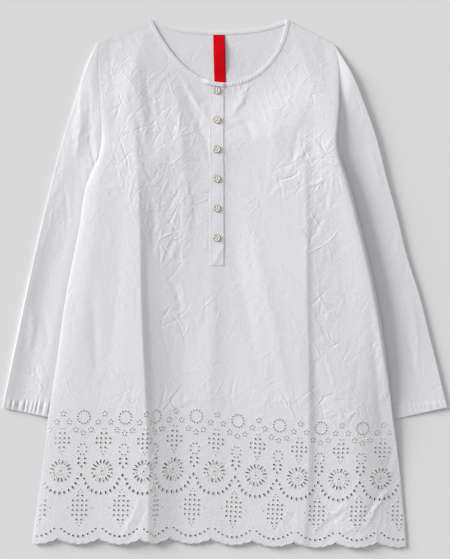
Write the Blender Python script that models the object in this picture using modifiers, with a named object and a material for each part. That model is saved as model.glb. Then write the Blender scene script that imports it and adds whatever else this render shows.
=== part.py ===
"""Tunic top of crinkled white cotton, laid flat with its front up.

Metres, +Z up. The floor is z = 0, +Y runs towards the neck and +X towards the wearer's left.
The origin is on the floor under the middle of the garment. The tables below are in millimetres:
"down" is a level's distance below the neck points, and heights are those of the cloth's middle.
"""

import math
from typing import NamedTuple

import bmesh
import bpy
import numpy as np

MM = 0.001

# Driving dimensions, millimetres
LENGTH = 817.0  # neck point to the lowest scallop
CLOTH = 1.0  # wall of every cut piece
SEAM_GAP = 0.3  # between pieces that are sewn together
LAYER = CLOTH + SEAM_GAP + 0.1  # from the middle of one layer to the next one lying on it
FLOOR_LAYER = CLOTH / 2  # middle of a layer that lies on the floor
BINDING_WIDTH = 6.0
NECK_LEFT_X = -113.5  # neck point on the wearer's right
NECK_RIGHT_X = 94.2
NECK_RIGHT_DOWN = 0.8
SHOULDER_LEFT = (-194.1, 35.7)  # x and down of the shoulder ends
SHOULDER_RIGHT = (164.0, 37.2)
SHOULDER_EDGE_LEFT = -197.0  # x where the shoulder seams meet the armholes
SHOULDER_EDGE_RIGHT = 169.0
NECK_FRONT_DEPTH = 98.4
NECK_FRONT_X = -1.9  # lowest point of the front neckline
NECK_LIFT = 1.7  # the front neck edge above where it would lie on the back
NECK_LIFT_RUN = 15.0  # from a neck point to where the edge is fully lifted
SEAM_RUN = 40.0  # from the upper edge to where the folds have their full height
PLACKET_WIDTH = 22.0
PLACKET_END = 382.0  # down
NOTCH_LEFT = -23.9
NOTCH_RIGHT = -4.2
NOTCH_END = 377.0
UNDERARM = 211.0  # down
FIRST_BUTTON = 110.5  # down
BUTTON_PITCH = 45.7
BUTTON_X = -13.2
BUTTON_COUNT = 6
BUTTON_RADIUS = 5.75
BUTTON_THICK = 2.6
BUTTON_DISH = 0.7
BUTTON_HOLE_RADIUS = 0.7
BUTTON_HOLE_OFFSET = 1.25
LABEL_X = -9.6
LABEL_WIDTH = 17.8
LABEL_BOTTOM = 106.0
LABEL_LEAN = 1.8  # sideways drift from its top to its bottom
LABEL_BOW = 1.6
LABEL_BOW_END = 0.8  # share of its length that stands off the back
SCALLOP_DEPTH = 9.0
SCALLOP_FULLNESS = 0.8  # below 1 the arcs are fuller than a sine
HEM_MARGIN = 4.0  # cloth beyond the lowest scallop, cut away with the scallops
ROLL_WIDTH = 13.0  # from a side seam to the top of the rounded side
SLEEVE_RAMP = 20.0  # over which the back comes down off a hidden sleeve
LAP_START = 16.0  # from the placket's edge to where the binding starts to climb onto it
LAP_RUN = 14.0  # over which it climbs

TOP_Y = LENGTH / 2

# Control points (x, down) of the neck edges
NECK_LOWEST = (NECK_FRONT_X, NECK_FRONT_DEPTH)
NECK_RIGHT_HALF = ((NECK_LEFT_X, 0.0), (-93.3, 43.4), (-54.6, NECK_FRONT_DEPTH), NECK_LOWEST)
NECK_LEFT_HALF = (NECK_LOWEST, (41.5, NECK_FRONT_DEPTH), (86.5, 63.6), (NECK_RIGHT_X, NECK_RIGHT_DOWN))
NECK_BACK = ((NECK_LEFT_X, 0.0), (-77.8, 22.3), (46.2, 26.0), (NECK_RIGHT_X, NECK_RIGHT_DOWN))


class FoldLines(NamedTuple):
    """Where the folds of the body lie at one level, x in millimetres."""

    down: float
    left: float
    lip: float
    foot: float
    ridge: float
    dip: float
    right: float


FOLD_LINES = (
    FoldLines(down=0, left=-197, lip=-150, foot=-119, ridge=100, dip=130, right=166),
    FoldLines(down=45, left=-197, lip=-147, foot=-119, ridge=104, dip=131, right=170),
    FoldLines(down=64, left=-198, lip=-145, foot=-118, ridge=106, dip=132, right=175),
    FoldLines(down=126, left=-195, lip=-141, foot=-115, ridge=112, dip=134, right=177),
    FoldLines(down=211, left=-196, lip=-139, foot=-116, ridge=121, dip=137, right=176),
    FoldLines(down=251, left=-213, lip=-138, foot=-126, ridge=126, dip=139, right=189),
    FoldLines(down=327, left=-227, lip=-132, foot=-121, ridge=128, dip=139, right=209),
    FoldLines(down=436, left=-248, lip=-130, foot=-119, ridge=128, dip=139, right=234),
    FoldLines(down=529, left=-261, lip=-124, foot=-113, ridge=130, dip=141, right=249),
    FoldLines(down=614, left=-274, lip=-117, foot=-104, ridge=130, dip=141, right=260),
    FoldLines(down=699, left=-284, lip=-114, foot=-98, ridge=130, dip=141, right=271),
    FoldLines(down=825, left=-302, lip=-116, foot=-99, ridge=118, dip=131, right=283),
)


class FrontHeights(NamedTuple):
    """Height of the front's cloth along its folds at one level, millimetres."""

    down: float
    seam_left: float
    roll_left: float
    hollow: float
    lip: float
    foot: float
    rise: float
    placket: float
    plain: float
    ridge: float
    dip: float
    swell: float
    roll_right: float
    seam_right: float


FRONT_HEIGHTS = (
    FrontHeights(0, 4.0, 5.0, 5.0, 5.0, 4.5, 4.0, 4.0, 4.0, 4.5, 4.5, 5.0, 6.0, 5.0),
    FrontHeights(64, 8.0, 9.0, 8.0, 7.0, 5.0, 5.0, 4.0, 4.5, 5.0, 5.0, 7.0, 11.0, 9.0),
    FrontHeights(126, 10.0, 12.0, 10.0, 9.0, 5.0, 6.0, 4.5, 5.0, 6.0, 6.0, 8.0, 14.0, 11.0),
    FrontHeights(211, 7.2, 13.0, 10.0, 10.0, 4.5, 6.0, 4.5, 5.0, 7.0, 6.0, 9.0, 16.0, 9.2),
    FrontHeights(251, 7.0, 13.0, 9.5, 12.0, 4.0, 5.5, 4.5, 5.0, 8.0, 6.0, 10.0, 17.0, 9.0),
    FrontHeights(327, 7.0, 13.0, 9.0, 12.5, 4.0, 5.0, 4.5, 5.0, 9.0, 6.5, 10.0, 18.0, 9.0),
    FrontHeights(436, 7.0, 13.0, 8.5, 12.5, 4.0, 5.0, 4.5, 5.0, 9.0, 6.0, 10.0, 18.0, 9.0),
    FrontHeights(529, 7.0, 12.0, 8.0, 12.0, 4.0, 5.0, 4.5, 5.0, 9.0, 6.0, 9.0, 17.0, 9.0),
    FrontHeights(614, 6.5, 11.0, 7.5, 12.0, 4.0, 5.0, 5.0, 5.0, 8.5, 5.5, 8.5, 15.0, 8.5),
    FrontHeights(699, 5.0, 9.0, 6.0, 12.0, 3.8, 5.0, 5.5, 5.0, 8.0, 5.0, 7.0, 12.0, 6.0),
    FrontHeights(825, 3.2, 7.0, 5.5, 11.0, 3.5, 5.0, 6.0, 5.5, 7.5, 4.5, 6.0, 9.0, 4.0),
)


class BackLevels(NamedTuple):
    """The back at one level: its heights, and where each sleeve ends under it."""

    down: float
    seam_left: float
    over_left: float
    inner_left: float
    inner_right: float
    over_right: float
    seam_right: float


BACK_LEVELS = (
    BackLevels(0, 0.5, 0.5, -170, 145, 0.5, 0.5),
    BackLevels(64, 1.5, 0.5, -170, 145, 0.5, 1.5),
    BackLevels(126, 2.0, 0.5, -170, 145, 0.5, 2.0),
    BackLevels(175, 3.6, 2.0, -170, 148, 2.0, 4.6),
    BackLevels(211, 5.8, 4.6, -168, 149, 4.6, 7.8),
    BackLevels(251, 5.6, 4.6, -158, 144, 4.6, 7.6),
    BackLevels(327, 5.6, 4.6, -148, 133, 4.6, 7.6),
    BackLevels(436, 5.6, 4.6, -154, 147, 4.6, 7.6),
    BackLevels(529, 5.6, 4.6, -182, 186, 4.6, 7.6),
    BackLevels(614, 5.1, 4.6, -219, 220, 4.6, 7.1),
    BackLevels(645, 4.8, 4.6, -224, 226, 4.6, 6.4),
    BackLevels(699, 3.6, 0.5, -224, 226, 0.5, 4.6),
    BackLevels(825, 1.8, 0.5, -224, 226, 0.5, 2.6),
)


class SleeveRing(NamedTuple):
    """One ring of a flattened sleeve, from its outer fold to its inner fold, millimetres."""

    outer_x: float
    outer_down: float
    inner_x: float
    inner_down: float
    shown: float  # share of the width that the body leaves bare
    puff: float  # how far the bare share stands above the flat


SLEEVE_RIGHT_RINGS = (
    SleeveRing(-213, 70, -197.6, 216, 1.00, 4.5),
    SleeveRing(-227, 113, -200, 227, 0.95, 4.0),
    SleeveRing(-241, 156, -198, 241, 0.76, 3.8),
    SleeveRing(-257, 210, -190, 266, 0.62, 3.5),
    SleeveRing(-273, 274, -174, 300, 0.50, 3.2),
    SleeveRing(-292, 354, -162, 338, 0.44, 3.0),
    SleeveRing(-309, 432, -164, 402, 0.40, 3.0),
    SleeveRing(-322, 495, -180, 470, 0.41, 3.0),
    SleeveRing(-334, 552, -206, 540, 0.46, 3.0),
    SleeveRing(-342, 591, -224, 594, 0.52, 2.6),
    SleeveRing(-344, 603, -231, 626, 0.56, 2.2),
)
SLEEVE_LEFT_RINGS = (
    SleeveRing(198, 88, 177, 216, 1.00, 4.5),
    SleeveRing(217, 135, 179.5, 227, 0.95, 4.0),
    SleeveRing(235, 187, 179, 241, 0.76, 3.6),
    SleeveRing(251, 250, 171, 262, 0.64, 3.2),
    SleeveRing(264, 296, 158, 296, 0.50, 3.0),
    SleeveRing(281, 365, 147, 338, 0.44, 2.8),
    SleeveRing(302, 432, 156, 402, 0.38, 2.6),
    SleeveRing(317, 492, 178, 470, 0.38, 2.6),
    SleeveRing(331, 548, 206, 540, 0.42, 2.6),
    SleeveRing(341, 590, 226, 594, 0.47, 2.4),
    SleeveRing(344, 602, 231, 627, 0.50, 2.2),
)
ARMHOLE_GAP = 0.8  # leaves the seam's gap where both edges lean
ARMHOLE_END = 4.0  # from each end of an armhole to the first point of the sleeve
SLEEVE_LAYER = 1.7  # from a sleeve's lower layer to its upper one where it is pressed flat
PUFF_FULLNESS = 0.7  # below 1 the bare share is rounder than a sine

SCALLOP_CUSPS = (-300, -253, -194, -135, -92, -17, 47, 114, 176, 234, 283)  # x along the hem


class ButtonPoint(NamedTuple):
    """A point of the button's turned profile, millimetres."""

    inset: float  # in from the edge
    height: float


BUTTON_PROFILE = (
    ButtonPoint(BUTTON_RADIUS, BUTTON_THICK - BUTTON_DISH),
    ButtonPoint(1.9, BUTTON_THICK - BUTTON_DISH),
    ButtonPoint(1.3, BUTTON_THICK - 0.1),
    ButtonPoint(0.5, BUTTON_THICK),
    ButtonPoint(0.0, BUTTON_THICK - 0.7),
    ButtonPoint(0.8, 0.3),
    ButtonPoint(2.2, 0.0),
    ButtonPoint(BUTTON_RADIUS, 0.0),
)

# How finely each piece is divided
FRONT_COUNTS = (2, 3, 3, 2, 5, 5, 2, 5, 5, 2, 3, 3, 2)  # columns from one fold line to the next
CROWDED_FIRST = 4  # the gap between fold lines that starts at the lip's foot, and
CROWDED_LAST = 8  # the one that ends at the right ridge
CROWDING = 1.7
BACK_COUNTS = (2, 3, 2, 12, 2, 3, 2)
ARMHOLE_ROWS = 7  # from the shoulder to the underarm
PLACKET_ROWS = 5  # from there to the placket's end
FRONT_BELOW_ROWS = 12
BACK_BELOW_ROWS = 12
SLEEVE_COLUMNS = ARMHOLE_ROWS + 1  # points across each layer of a sleeve
NECK_STEPS = 40
PLACKET_POINTS = 13
LABEL_POINTS = 9
SCALLOP_STEPS = 6
BUTTON_STEPS = 20
HOLE_SIDES = 8
SETTLING_STEPS = 12  # rounds of finding where a leaning column meets the upper edge
FINE_STEP = 0.1  # a small step along an edge
NECK_MARGIN = 0.5  # how near a cut's corner counts as the corner
OUTSIDE = 260.0  # an x beyond both shoulders


def at_level(table, down):
    """The table's row at any level, smoothly between its rows."""
    rows = np.array(table, dtype=float)
    return type(table[0])(*(np.interp(down, rows[:, 0], column) for column in rows.T))


def ease(share):
    """0 to 1 with level ends."""
    share = min(max(share, 0.0), 1.0)
    return share * share * (3 - 2 * share)


def blend(start, end, share):
    return start + (end - start) * share


def bezier(points, share):
    """A point on the cubic curve through four control points."""
    a, b, c, d = (np.array(p, dtype=float) for p in points)
    rest = 1 - share
    return a * rest**3 + 3 * b * rest**2 * share + 3 * c * rest * share**2 + d * share**3


def front_neckline():
    """Points (x, down) of the front neck edge, from the wearer's right to their left."""
    steps = np.linspace(0, 1, NECK_STEPS + 1)
    right_half = [bezier(NECK_RIGHT_HALF, step) for step in steps]
    return right_half + [bezier(NECK_LEFT_HALF, step) for step in steps[1:]]


def back_neckline():
    """Points (x, down) of the back neck edge."""
    return [bezier(NECK_BACK, step) for step in np.linspace(0, 1, NECK_STEPS + 1)]


def moved_down(points, distance):
    """The line of points moved square to itself, into the garment."""
    path = np.array(points)
    run = np.gradient(path, axis=0)
    run /= np.linalg.norm(run, axis=1)[:, None]
    return path + distance * np.stack([-run[:, 1], run[:, 0]], axis=1)


def shoulder(x):
    """How far down the shoulder seam is at x."""
    if x < 0:
        slope = SHOULDER_LEFT[1] / (NECK_LEFT_X - SHOULDER_LEFT[0])
        return (NECK_LEFT_X - x) * slope
    slope = (SHOULDER_RIGHT[1] - NECK_RIGHT_DOWN) / (SHOULDER_RIGHT[0] - NECK_RIGHT_X)
    return NECK_RIGHT_DOWN + (x - NECK_RIGHT_X) * slope


def top_edge(neckline):
    """The cut upper edge (x, down) of a body panel: shoulder, neck and shoulder."""
    inner = moved_down(neckline, BINDING_WIDTH)
    inside = [tuple(point) for point in inner if point[1] > shoulder(point[0])]
    corners = (inside[0][0] - FINE_STEP, inside[-1][0] + FINE_STEP)
    ends = [(x, shoulder(x)) for x in (-OUTSIDE, *corners, OUTSIDE)]
    return np.array(ends[:2] + inside + ends[2:])


def front_lines(down):
    """(x, height) of each fold line of the front at one level, across the body."""
    fold = at_level(FOLD_LINES, down)
    high = at_level(FRONT_HEIGHTS, down)
    roll_left, roll_right = fold.left + ROLL_WIDTH, fold.right - ROLL_WIDTH
    below_neck = ease(down / NECK_FRONT_DEPTH)
    foot = blend(FRONT_TOP[1, 0], fold.foot, below_neck)
    ridge = blend(FRONT_TOP[-2, 0], fold.ridge, below_neck)
    return (
        (fold.left, high.seam_left),
        (roll_left, high.roll_left),
        (blend(roll_left, fold.lip, 0.5), high.hollow),
        (fold.lip, high.lip),
        (foot, high.foot),
        (blend(foot, NOTCH_LEFT, 0.5), high.rise),
        (NOTCH_LEFT, high.placket),
        (NOTCH_RIGHT, high.placket),
        (blend(NOTCH_RIGHT, ridge, 0.5), high.plain),
        (ridge, high.ridge),
        (fold.dip, high.dip),
        (blend(fold.dip, roll_right, 0.5), high.swell),
        (roll_right, high.roll_right),
        (fold.right, high.seam_right),
    )


def back_lines(down):
    """(x, height) of each line of the back at one level."""
    fold = at_level(FOLD_LINES, down)
    level = at_level(BACK_LEVELS, down)
    below_neck = ease(down / UNDERARM)
    return (
        (fold.left, level.seam_left),
        (fold.left + ROLL_WIDTH, level.over_left),
        (level.inner_left + SLEEVE_RAMP / 4, level.over_left),
        (blend(BACK_TOP[1, 0], level.inner_left + SLEEVE_RAMP, below_neck), FLOOR_LAYER),
        (blend(BACK_TOP[-2, 0], level.inner_right - SLEEVE_RAMP, below_neck), FLOOR_LAYER),
        (level.inner_right - SLEEVE_RAMP / 4, level.over_right),
        (fold.right - ROLL_WIDTH, level.over_right),
        (fold.right, level.seam_right),
    )


def line_height(lines, x):
    """Height at x between the fold lines of one level."""
    for (x0, z0), (x1, z1) in zip(lines, lines[1:]):
        if x <= x1:
            return blend(z0, z1, ease((x - x0) / (x1 - x0)))
    return lines[-1][1]


def front_height(x, down):
    """Middle of the front's cloth. It comes down to the back along the shoulders."""
    profile = line_height(front_lines(down), x)
    edge = np.interp(x, FRONT_TOP[:, 0], FRONT_TOP[:, 1])
    from_left, from_right = x - FRONT_TOP[1, 0], FRONT_TOP[-2, 0] - x
    on_neck = ease(from_left / NECK_LIFT_RUN) * ease(from_right / NECK_LIFT_RUN)
    seam = back_height(x, down) + LAYER + NECK_LIFT * on_neck
    return blend(seam, profile, ease((down - edge) / SEAM_RUN))


def back_height(x, down):
    return line_height(back_lines(down), x)


FRONT_TOP = top_edge(front_neckline())
BACK_TOP = top_edge(back_neckline())


def place(x, down, height):
    """A point of the model in metres, from millimetres on the garment."""
    return (x * MM, (TOP_Y - down) * MM, height * MM)


def column_x(lines, column):
    index, share = column
    return blend(lines[index][0], lines[index + 1][0], share)


def columns_of(counts):
    """Each grid column as a fold line's index and the share of the way to the next one."""
    columns = [(i, k / count) for i, count in enumerate(counts) for k in range(count)]
    return columns + [(len(counts) - 1, 1.0)]


def crowded(column):
    """Columns of the front stand closer together near the neck points, where its edge is steep."""
    index, share = column
    if index == CROWDED_FIRST:
        return index, share**CROWDING
    if index == CROWDED_LAST:
        return index, 1 - (1 - share) ** CROWDING
    return column


FRONT_COLUMNS = [crowded(column) for column in columns_of(FRONT_COUNTS)]
BACK_COLUMNS = columns_of(BACK_COUNTS)


def top_of_column(lines_at, column, edge):
    """How far down the garment's upper edge is where this column meets it."""
    down = 0.0
    for _ in range(SETTLING_STEPS):
        down = float(np.interp(column_x(lines_at(down), column), edge[:, 0], edge[:, 1]))
    return down


def neck_points(columns, lines_at, edge):
    """Where the panel's columns meet its neck edge, as points (x, down)."""
    points = []
    for column in columns:
        down = top_of_column(lines_at, column, edge)
        x = column_x(lines_at(down), column)
        if edge[1, 0] - NECK_MARGIN <= x <= edge[-2, 0] + NECK_MARGIN:
            points.append((x, down))
    return np.array(points)


def new_mesh(name, points, faces):
    mesh = bpy.data.meshes.new(name)
    mesh.from_pydata(points, [], faces)
    work = bmesh.new()
    work.from_mesh(mesh)
    bmesh.ops.recalc_face_normals(work, faces=work.faces)
    work.to_mesh(mesh)
    work.free()
    return mesh


def new_object(name, mesh, material, collection):
    obj = bpy.data.objects.new(name, mesh)
    if material is not None:
        mesh.materials.append(material)
    collection.objects.link(obj)
    return obj


def add_wall(obj):
    wall = obj.modifiers.new("Wall", "SOLIDIFY")
    wall.thickness = CLOTH * MM
    wall.offset = 0.0


def grid_faces(rows, columns, keep=lambda row, column: True):
    """Quads of a grid of points numbered row by row."""
    return [
        (r * columns + c, r * columns + c + 1, (r + 1) * columns + c + 1, (r + 1) * columns + c)
        for r in range(rows - 1)
        for c in range(columns - 1)
        if keep(r, c)
    ]


def used_points(points, faces):
    """The points that the faces use, and the faces numbered after them."""
    used = sorted({index for face in faces for index in face})
    number = {index: i for i, index in enumerate(used)}
    return [points[i] for i in used], [tuple(number[i] for i in face) for face in faces]


def panel(columns, bands, lines_at, edge, height, keep=lambda row, column: True):
    """A body panel as an open grid. Bands are (rows, lowest level), from the top down."""
    levels = []
    starts = [top_of_column(lines_at, column, edge) for column in columns]
    for rows, lowest in bands:
        for r in range(rows):
            levels.append([blend(start, lowest, r / rows) for start in starts])
        starts = [lowest] * len(columns)
    levels.append(starts)
    points = []
    for row in levels:
        for column, down in zip(columns, row):
            x = column_x(lines_at(down), column)
            points.append(place(x, down, height(x, down)))
    faces = grid_faces(len(levels), len(columns), keep)
    return used_points(points, faces)


def scallop_line():
    """Points (x, down) of the scalloped hem: an arc between each pair of cusps."""
    line = []
    for start, end in zip(SCALLOP_CUSPS, SCALLOP_CUSPS[1:]):
        for step in range(SCALLOP_STEPS):
            share = step / SCALLOP_STEPS
            drop = SCALLOP_DEPTH * math.sin(math.pi * share) ** SCALLOP_FULLNESS
            line.append((blend(start, end, share), LENGTH - SCALLOP_DEPTH + drop))
    line.append((SCALLOP_CUSPS[-1], LENGTH - SCALLOP_DEPTH))
    return line


def hem_cutter(collection):
    """All that lies beyond the scallops, as a block to cut from the body panels."""
    line = scallop_line()
    reach, beyond, low, high = 360, LENGTH + 40, -20, 60
    outline = [(-reach, line[0][1])] + line + [(reach, line[-1][1]), (reach, beyond), (-reach, beyond)]
    work = bmesh.new()
    face = work.faces.new([work.verts.new(place(x, down, low)) for x, down in outline])
    block = bmesh.ops.extrude_face_region(work, geom=[face])
    raised = [item for item in block["geom"] if isinstance(item, bmesh.types.BMVert)]
    bmesh.ops.translate(work, verts=raised, vec=(0, 0, (high - low) * MM))
    bmesh.ops.recalc_face_normals(work, faces=work.faces)
    mesh = bpy.data.meshes.new("hem_cutter")
    work.to_mesh(mesh)
    work.free()
    cutter = new_object("hem_cutter", mesh, None, collection)
    cutter.hide_render = True
    cutter.display_type = "WIRE"
    return cutter


def cut_hem(obj, cutter):
    cut = obj.modifiers.new("Scallops", "BOOLEAN")
    cut.object = cutter
    cut.operation = "DIFFERENCE"
    cut.solver = "EXACT"


def build_body(parts, cutters, cotton):
    """Front and back panels, which meet along the shoulders and sides."""
    cutter = hem_cutter(cutters)
    hem = LENGTH + HEM_MARGIN
    notch_gap = [line[0] for line in front_lines(NOTCH_END)].index(NOTCH_LEFT)
    notch_start = sum(FRONT_COUNTS[:notch_gap])
    notch_columns = range(notch_start, notch_start + FRONT_COUNTS[notch_gap])

    def outside_notch(row, column):
        return row >= ARMHOLE_ROWS + PLACKET_ROWS or column not in notch_columns

    bands = ((ARMHOLE_ROWS, UNDERARM), (PLACKET_ROWS, NOTCH_END), (FRONT_BELOW_ROWS, hem))
    shape = panel(FRONT_COLUMNS, bands, front_lines, FRONT_TOP, front_height, outside_notch)
    front = new_object("front_body", new_mesh("front_body", *shape), cotton, parts)
    bands = ((ARMHOLE_ROWS, UNDERARM), (BACK_BELOW_ROWS, hem))
    shape = panel(BACK_COLUMNS, bands, back_lines, BACK_TOP, back_height)
    back = new_object("back_body", new_mesh("back_body", *shape), cotton, parts)
    for body in (front, back):
        add_wall(body)
        cut_hem(body, cutter)


def armhole_ring(side):
    """The sleeve's first ring, just outside the armhole edges of the front and the back."""
    start = shoulder(SHOULDER_EDGE_LEFT if side < 0 else SHOULDER_EDGE_RIGHT)
    upper, lower = [], []
    for row in range(SLEEVE_COLUMNS):
        down = blend(start, UNDERARM, row / ARMHOLE_ROWS)
        fold = at_level(FOLD_LINES, down)
        edge = fold.left if side < 0 else fold.right
        low = back_height(edge, down)
        high = max(front_height(edge, down), low + SLEEVE_LAYER)
        x = edge + side * ARMHOLE_GAP
        upper.append((x, down, high))
        lower.append((x, down, low))
    for layer in (upper, lower):
        for end, neighbour in ((0, 1), (-1, -2)):
            reach = np.array(layer[neighbour]) - np.array(layer[end])
            layer[end] = tuple(np.array(layer[end]) + reach * ARMHOLE_END / np.linalg.norm(reach))
    return closed_ring(upper, lower)


def closed_ring(upper, lower):
    """One loop: the upper layer, its inner fold, the lower layer back again, and its outer fold."""

    def fold_point(ends, neighbours):
        middle = (np.array(ends[0]) + np.array(ends[1])) / 2
        inner = (np.array(neighbours[0]) + np.array(neighbours[1])) / 2
        out = middle - inner
        out[2] = 0
        reach = abs(ends[0][2] - ends[1][2]) / 2
        return tuple(middle + out / np.linalg.norm(out) * reach)

    inner_fold = fold_point((upper[-1], lower[-1]), (upper[-2], lower[-2]))
    outer_fold = fold_point((upper[0], lower[0]), (upper[1], lower[1]))
    return upper + [inner_fold] + lower[::-1] + [outer_fold]


def sleeve_ring(ring):
    """A flattened ring: the lower layer on the floor, the upper one puffed where it is bare."""
    upper, lower = [], []
    for k in range(SLEEVE_COLUMNS):
        share = k / (SLEEVE_COLUMNS - 1)
        x = blend(ring.outer_x, ring.inner_x, share)
        down = blend(ring.outer_down, ring.inner_down, share)
        puff = ring.puff * math.sin(math.pi * min(share / ring.shown, 1.0)) ** PUFF_FULLNESS
        upper.append((x, down, FLOOR_LAYER + SLEEVE_LAYER + puff))
        lower.append((x, down, FLOOR_LAYER))
    return closed_ring(upper, lower)


def build_sleeve(name, side, rings, cotton, parts):
    """A flattened tube from the armhole to the open cuff, its inner half under the body."""
    loops = [armhole_ring(side)] + [sleeve_ring(ring) for ring in rings]
    size = len(loops[0])
    points = [place(*point) for loop in loops for point in loop]
    faces = []
    for r in range(len(loops) - 1):
        for c in range(size):
            after = (c + 1) % size
            faces.append((r * size + c, r * size + after, (r + 1) * size + after, (r + 1) * size + c))
    add_wall(new_object(name, new_mesh(name, points, faces), cotton, parts))


def strip(name, near, far, heights, material, parts):
    """A flat band between two lines of (x, down), with the cloth's height at each step."""
    points = []
    for a, b, height in zip(near, far, heights):
        points += [place(*a, height), place(*b, height)]
    mesh = new_mesh(name, points, grid_faces(len(heights), 2))
    add_wall(new_object(name, mesh, material, parts))


def binding(name, neckline, cut, low, high, height, material, parts):
    """A bias strip from the neck edge to a panel's cut edge, between two places on the cut edge."""
    inside = cut[(cut[:, 0] > low + NECK_MARGIN) & (cut[:, 0] < high - NECK_MARGIN)]
    ends = [(x, np.interp(x, cut[:, 0], cut[:, 1])) for x in (low, high)]
    path = np.array(neckline)
    near, far, heights = [], [], []
    for point in (ends[0], *inside, ends[1]):
        nearest = path[np.argmin(np.linalg.norm(path - point, axis=1))]
        width = np.linalg.norm(nearest - point)
        near.append(nearest)
        far.append(blend(np.array(point), nearest, (SEAM_GAP + FINE_STEP) / width))
        heights.append(height(*far[-1]))
    strip(name, near, far, heights, material, parts)


def build_neck_bindings(parts, cotton):
    """Bias bindings round the neck. The wearer's right one laps the placket over the other."""
    cut = neck_points(FRONT_COLUMNS, front_lines, FRONT_TOP)
    neck = front_neckline()
    free_edge = NOTCH_LEFT - SEAM_GAP + PLACKET_WIDTH
    corners = (cut[0, 0], cut[-1, 0])

    def over_height(x, down):
        return front_height(x, down) + LAYER * ease((x - NOTCH_LEFT + LAP_START) / LAP_RUN)

    binding("neck_binding_right", neck, cut, corners[0], free_edge, over_height, cotton, parts)
    under_end = NOTCH_LEFT + SEAM_GAP
    binding("neck_binding_left", neck, cut, under_end, corners[1], front_height, cotton, parts)
    cut = neck_points(BACK_COLUMNS, back_lines, BACK_TOP)
    corners = (cut[0, 0], cut[-1, 0])
    binding("neck_binding_back", back_neckline(), cut, *corners, back_height, cotton, parts)


def placket_strip(name, left, right, lift, top, bottom, material, parts):
    """A straight strip down the front, on the front's own height plus a lift."""
    levels = np.linspace(top, bottom, PLACKET_POINTS)
    near = [(left, down) for down in levels]
    far = [(right, down) for down in levels]
    heights = [front_height(BUTTON_X, down) + lift for down in levels]
    strip(name, near, far, heights, material, parts)


def build_placket(parts, cotton):
    top = NECK_FRONT_DEPTH + BINDING_WIDTH
    left = NOTCH_LEFT - SEAM_GAP
    placket_strip("placket_top", left, left + PLACKET_WIDTH, LAYER, top, PLACKET_END, cotton, parts)
    under_ends = (NOTCH_LEFT + SEAM_GAP, NOTCH_RIGHT - SEAM_GAP)
    placket_strip("placket_under", *under_ends, 0.0, top, NOTCH_END - SEAM_GAP, cotton, parts)


def button_mesh(collection):
    """A four-hole shirt button: a turned profile with a raised rim and a dished middle."""
    mesh = bpy.data.meshes.new("button_profile")
    points = [((BUTTON_RADIUS - inset) * MM, 0, height * MM) for inset, height in BUTTON_PROFILE]
    mesh.from_pydata(points, [(i, i + 1) for i in range(len(points) - 1)], [])
    turned = new_object("button_turning", mesh, None, collection)
    screw = turned.modifiers.new("Turn", "SCREW")
    screw.steps = screw.render_steps = BUTTON_STEPS
    screw.use_merge_vertices = True
    screw.merge_threshold = 0.00001
    work = bmesh.new()
    for x in (-1, 1):
        for y in (-1, 1):
            made = bmesh.ops.create_cone(
                work,
                cap_ends=True,
                segments=HOLE_SIDES,
                radius1=BUTTON_HOLE_RADIUS * MM,
                radius2=BUTTON_HOLE_RADIUS * MM,
                depth=3 * BUTTON_THICK * MM,
            )
            offset = BUTTON_HOLE_OFFSET * MM
            bmesh.ops.translate(work, verts=made["verts"], vec=(x * offset, y * offset, 0))
    pins = bpy.data.meshes.new("button_pins")
    work.to_mesh(pins)
    work.free()
    pin_object = new_object("button_pins", pins, None, collection)
    drill = turned.modifiers.new("Holes", "BOOLEAN")
    drill.object = pin_object
    drill.operation = "DIFFERENCE"
    drill.solver = "EXACT"
    bpy.context.view_layer.update()
    graph = bpy.context.evaluated_depsgraph_get()
    finished = bpy.data.meshes.new_from_object(turned.evaluated_get(graph))
    for helper in (turned, pin_object):
        bpy.data.objects.remove(helper)
    return finished


def build_buttons(parts, cutters, pearl):
    mesh = button_mesh(cutters)
    mesh.name = "button"
    mesh.materials.append(pearl)
    for number in range(BUTTON_COUNT):
        down = FIRST_BUTTON + number * BUTTON_PITCH
        cloth = max(front_height(BUTTON_X, down + reach) for reach in (-BUTTON_RADIUS, 0, BUTTON_RADIUS))
        button = bpy.data.objects.new(f"button_{number + 1}", mesh)
        button.location = place(BUTTON_X, down, cloth + LAYER + CLOTH / 2 + SEAM_GAP)
        parts.objects.link(button)


def build_label(parts, red):
    """The folded ribbon, sewn at the back neck and bowed a little off the back."""
    seam = float(np.interp(LABEL_X, *np.array(back_neckline()).T)) + BINDING_WIDTH
    shares = np.linspace(0, 1, LABEL_POINTS)
    levels = [blend(seam, LABEL_BOTTOM, share) for share in shares]
    middles = [LABEL_X + LABEL_LEAN * share for share in shares]
    near = [(x - LABEL_WIDTH / 2, down) for x, down in zip(middles, levels)]
    far = [(x + LABEL_WIDTH / 2, down) for x, down in zip(middles, levels)]
    bows = [ease(math.sin(math.pi * min(share / LABEL_BOW_END, 1))) for share in shares]
    heights = [FLOOR_LAYER + LAYER + LABEL_BOW * bow for bow in bows]
    strip("label_loop", near, far, heights, red, parts)


def principled(name, colour, roughness):
    material = bpy.data.materials.new(name)
    material.use_nodes = True
    shader = material.node_tree.nodes["Principled BSDF"]
    shader.inputs["Base Color"].default_value = (*colour, 1)
    shader.inputs["Roughness"].default_value = roughness
    return material


def new_collection(name):
    collection = bpy.data.collections.new(name)
    bpy.context.scene.collection.children.link(collection)
    return collection


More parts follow.
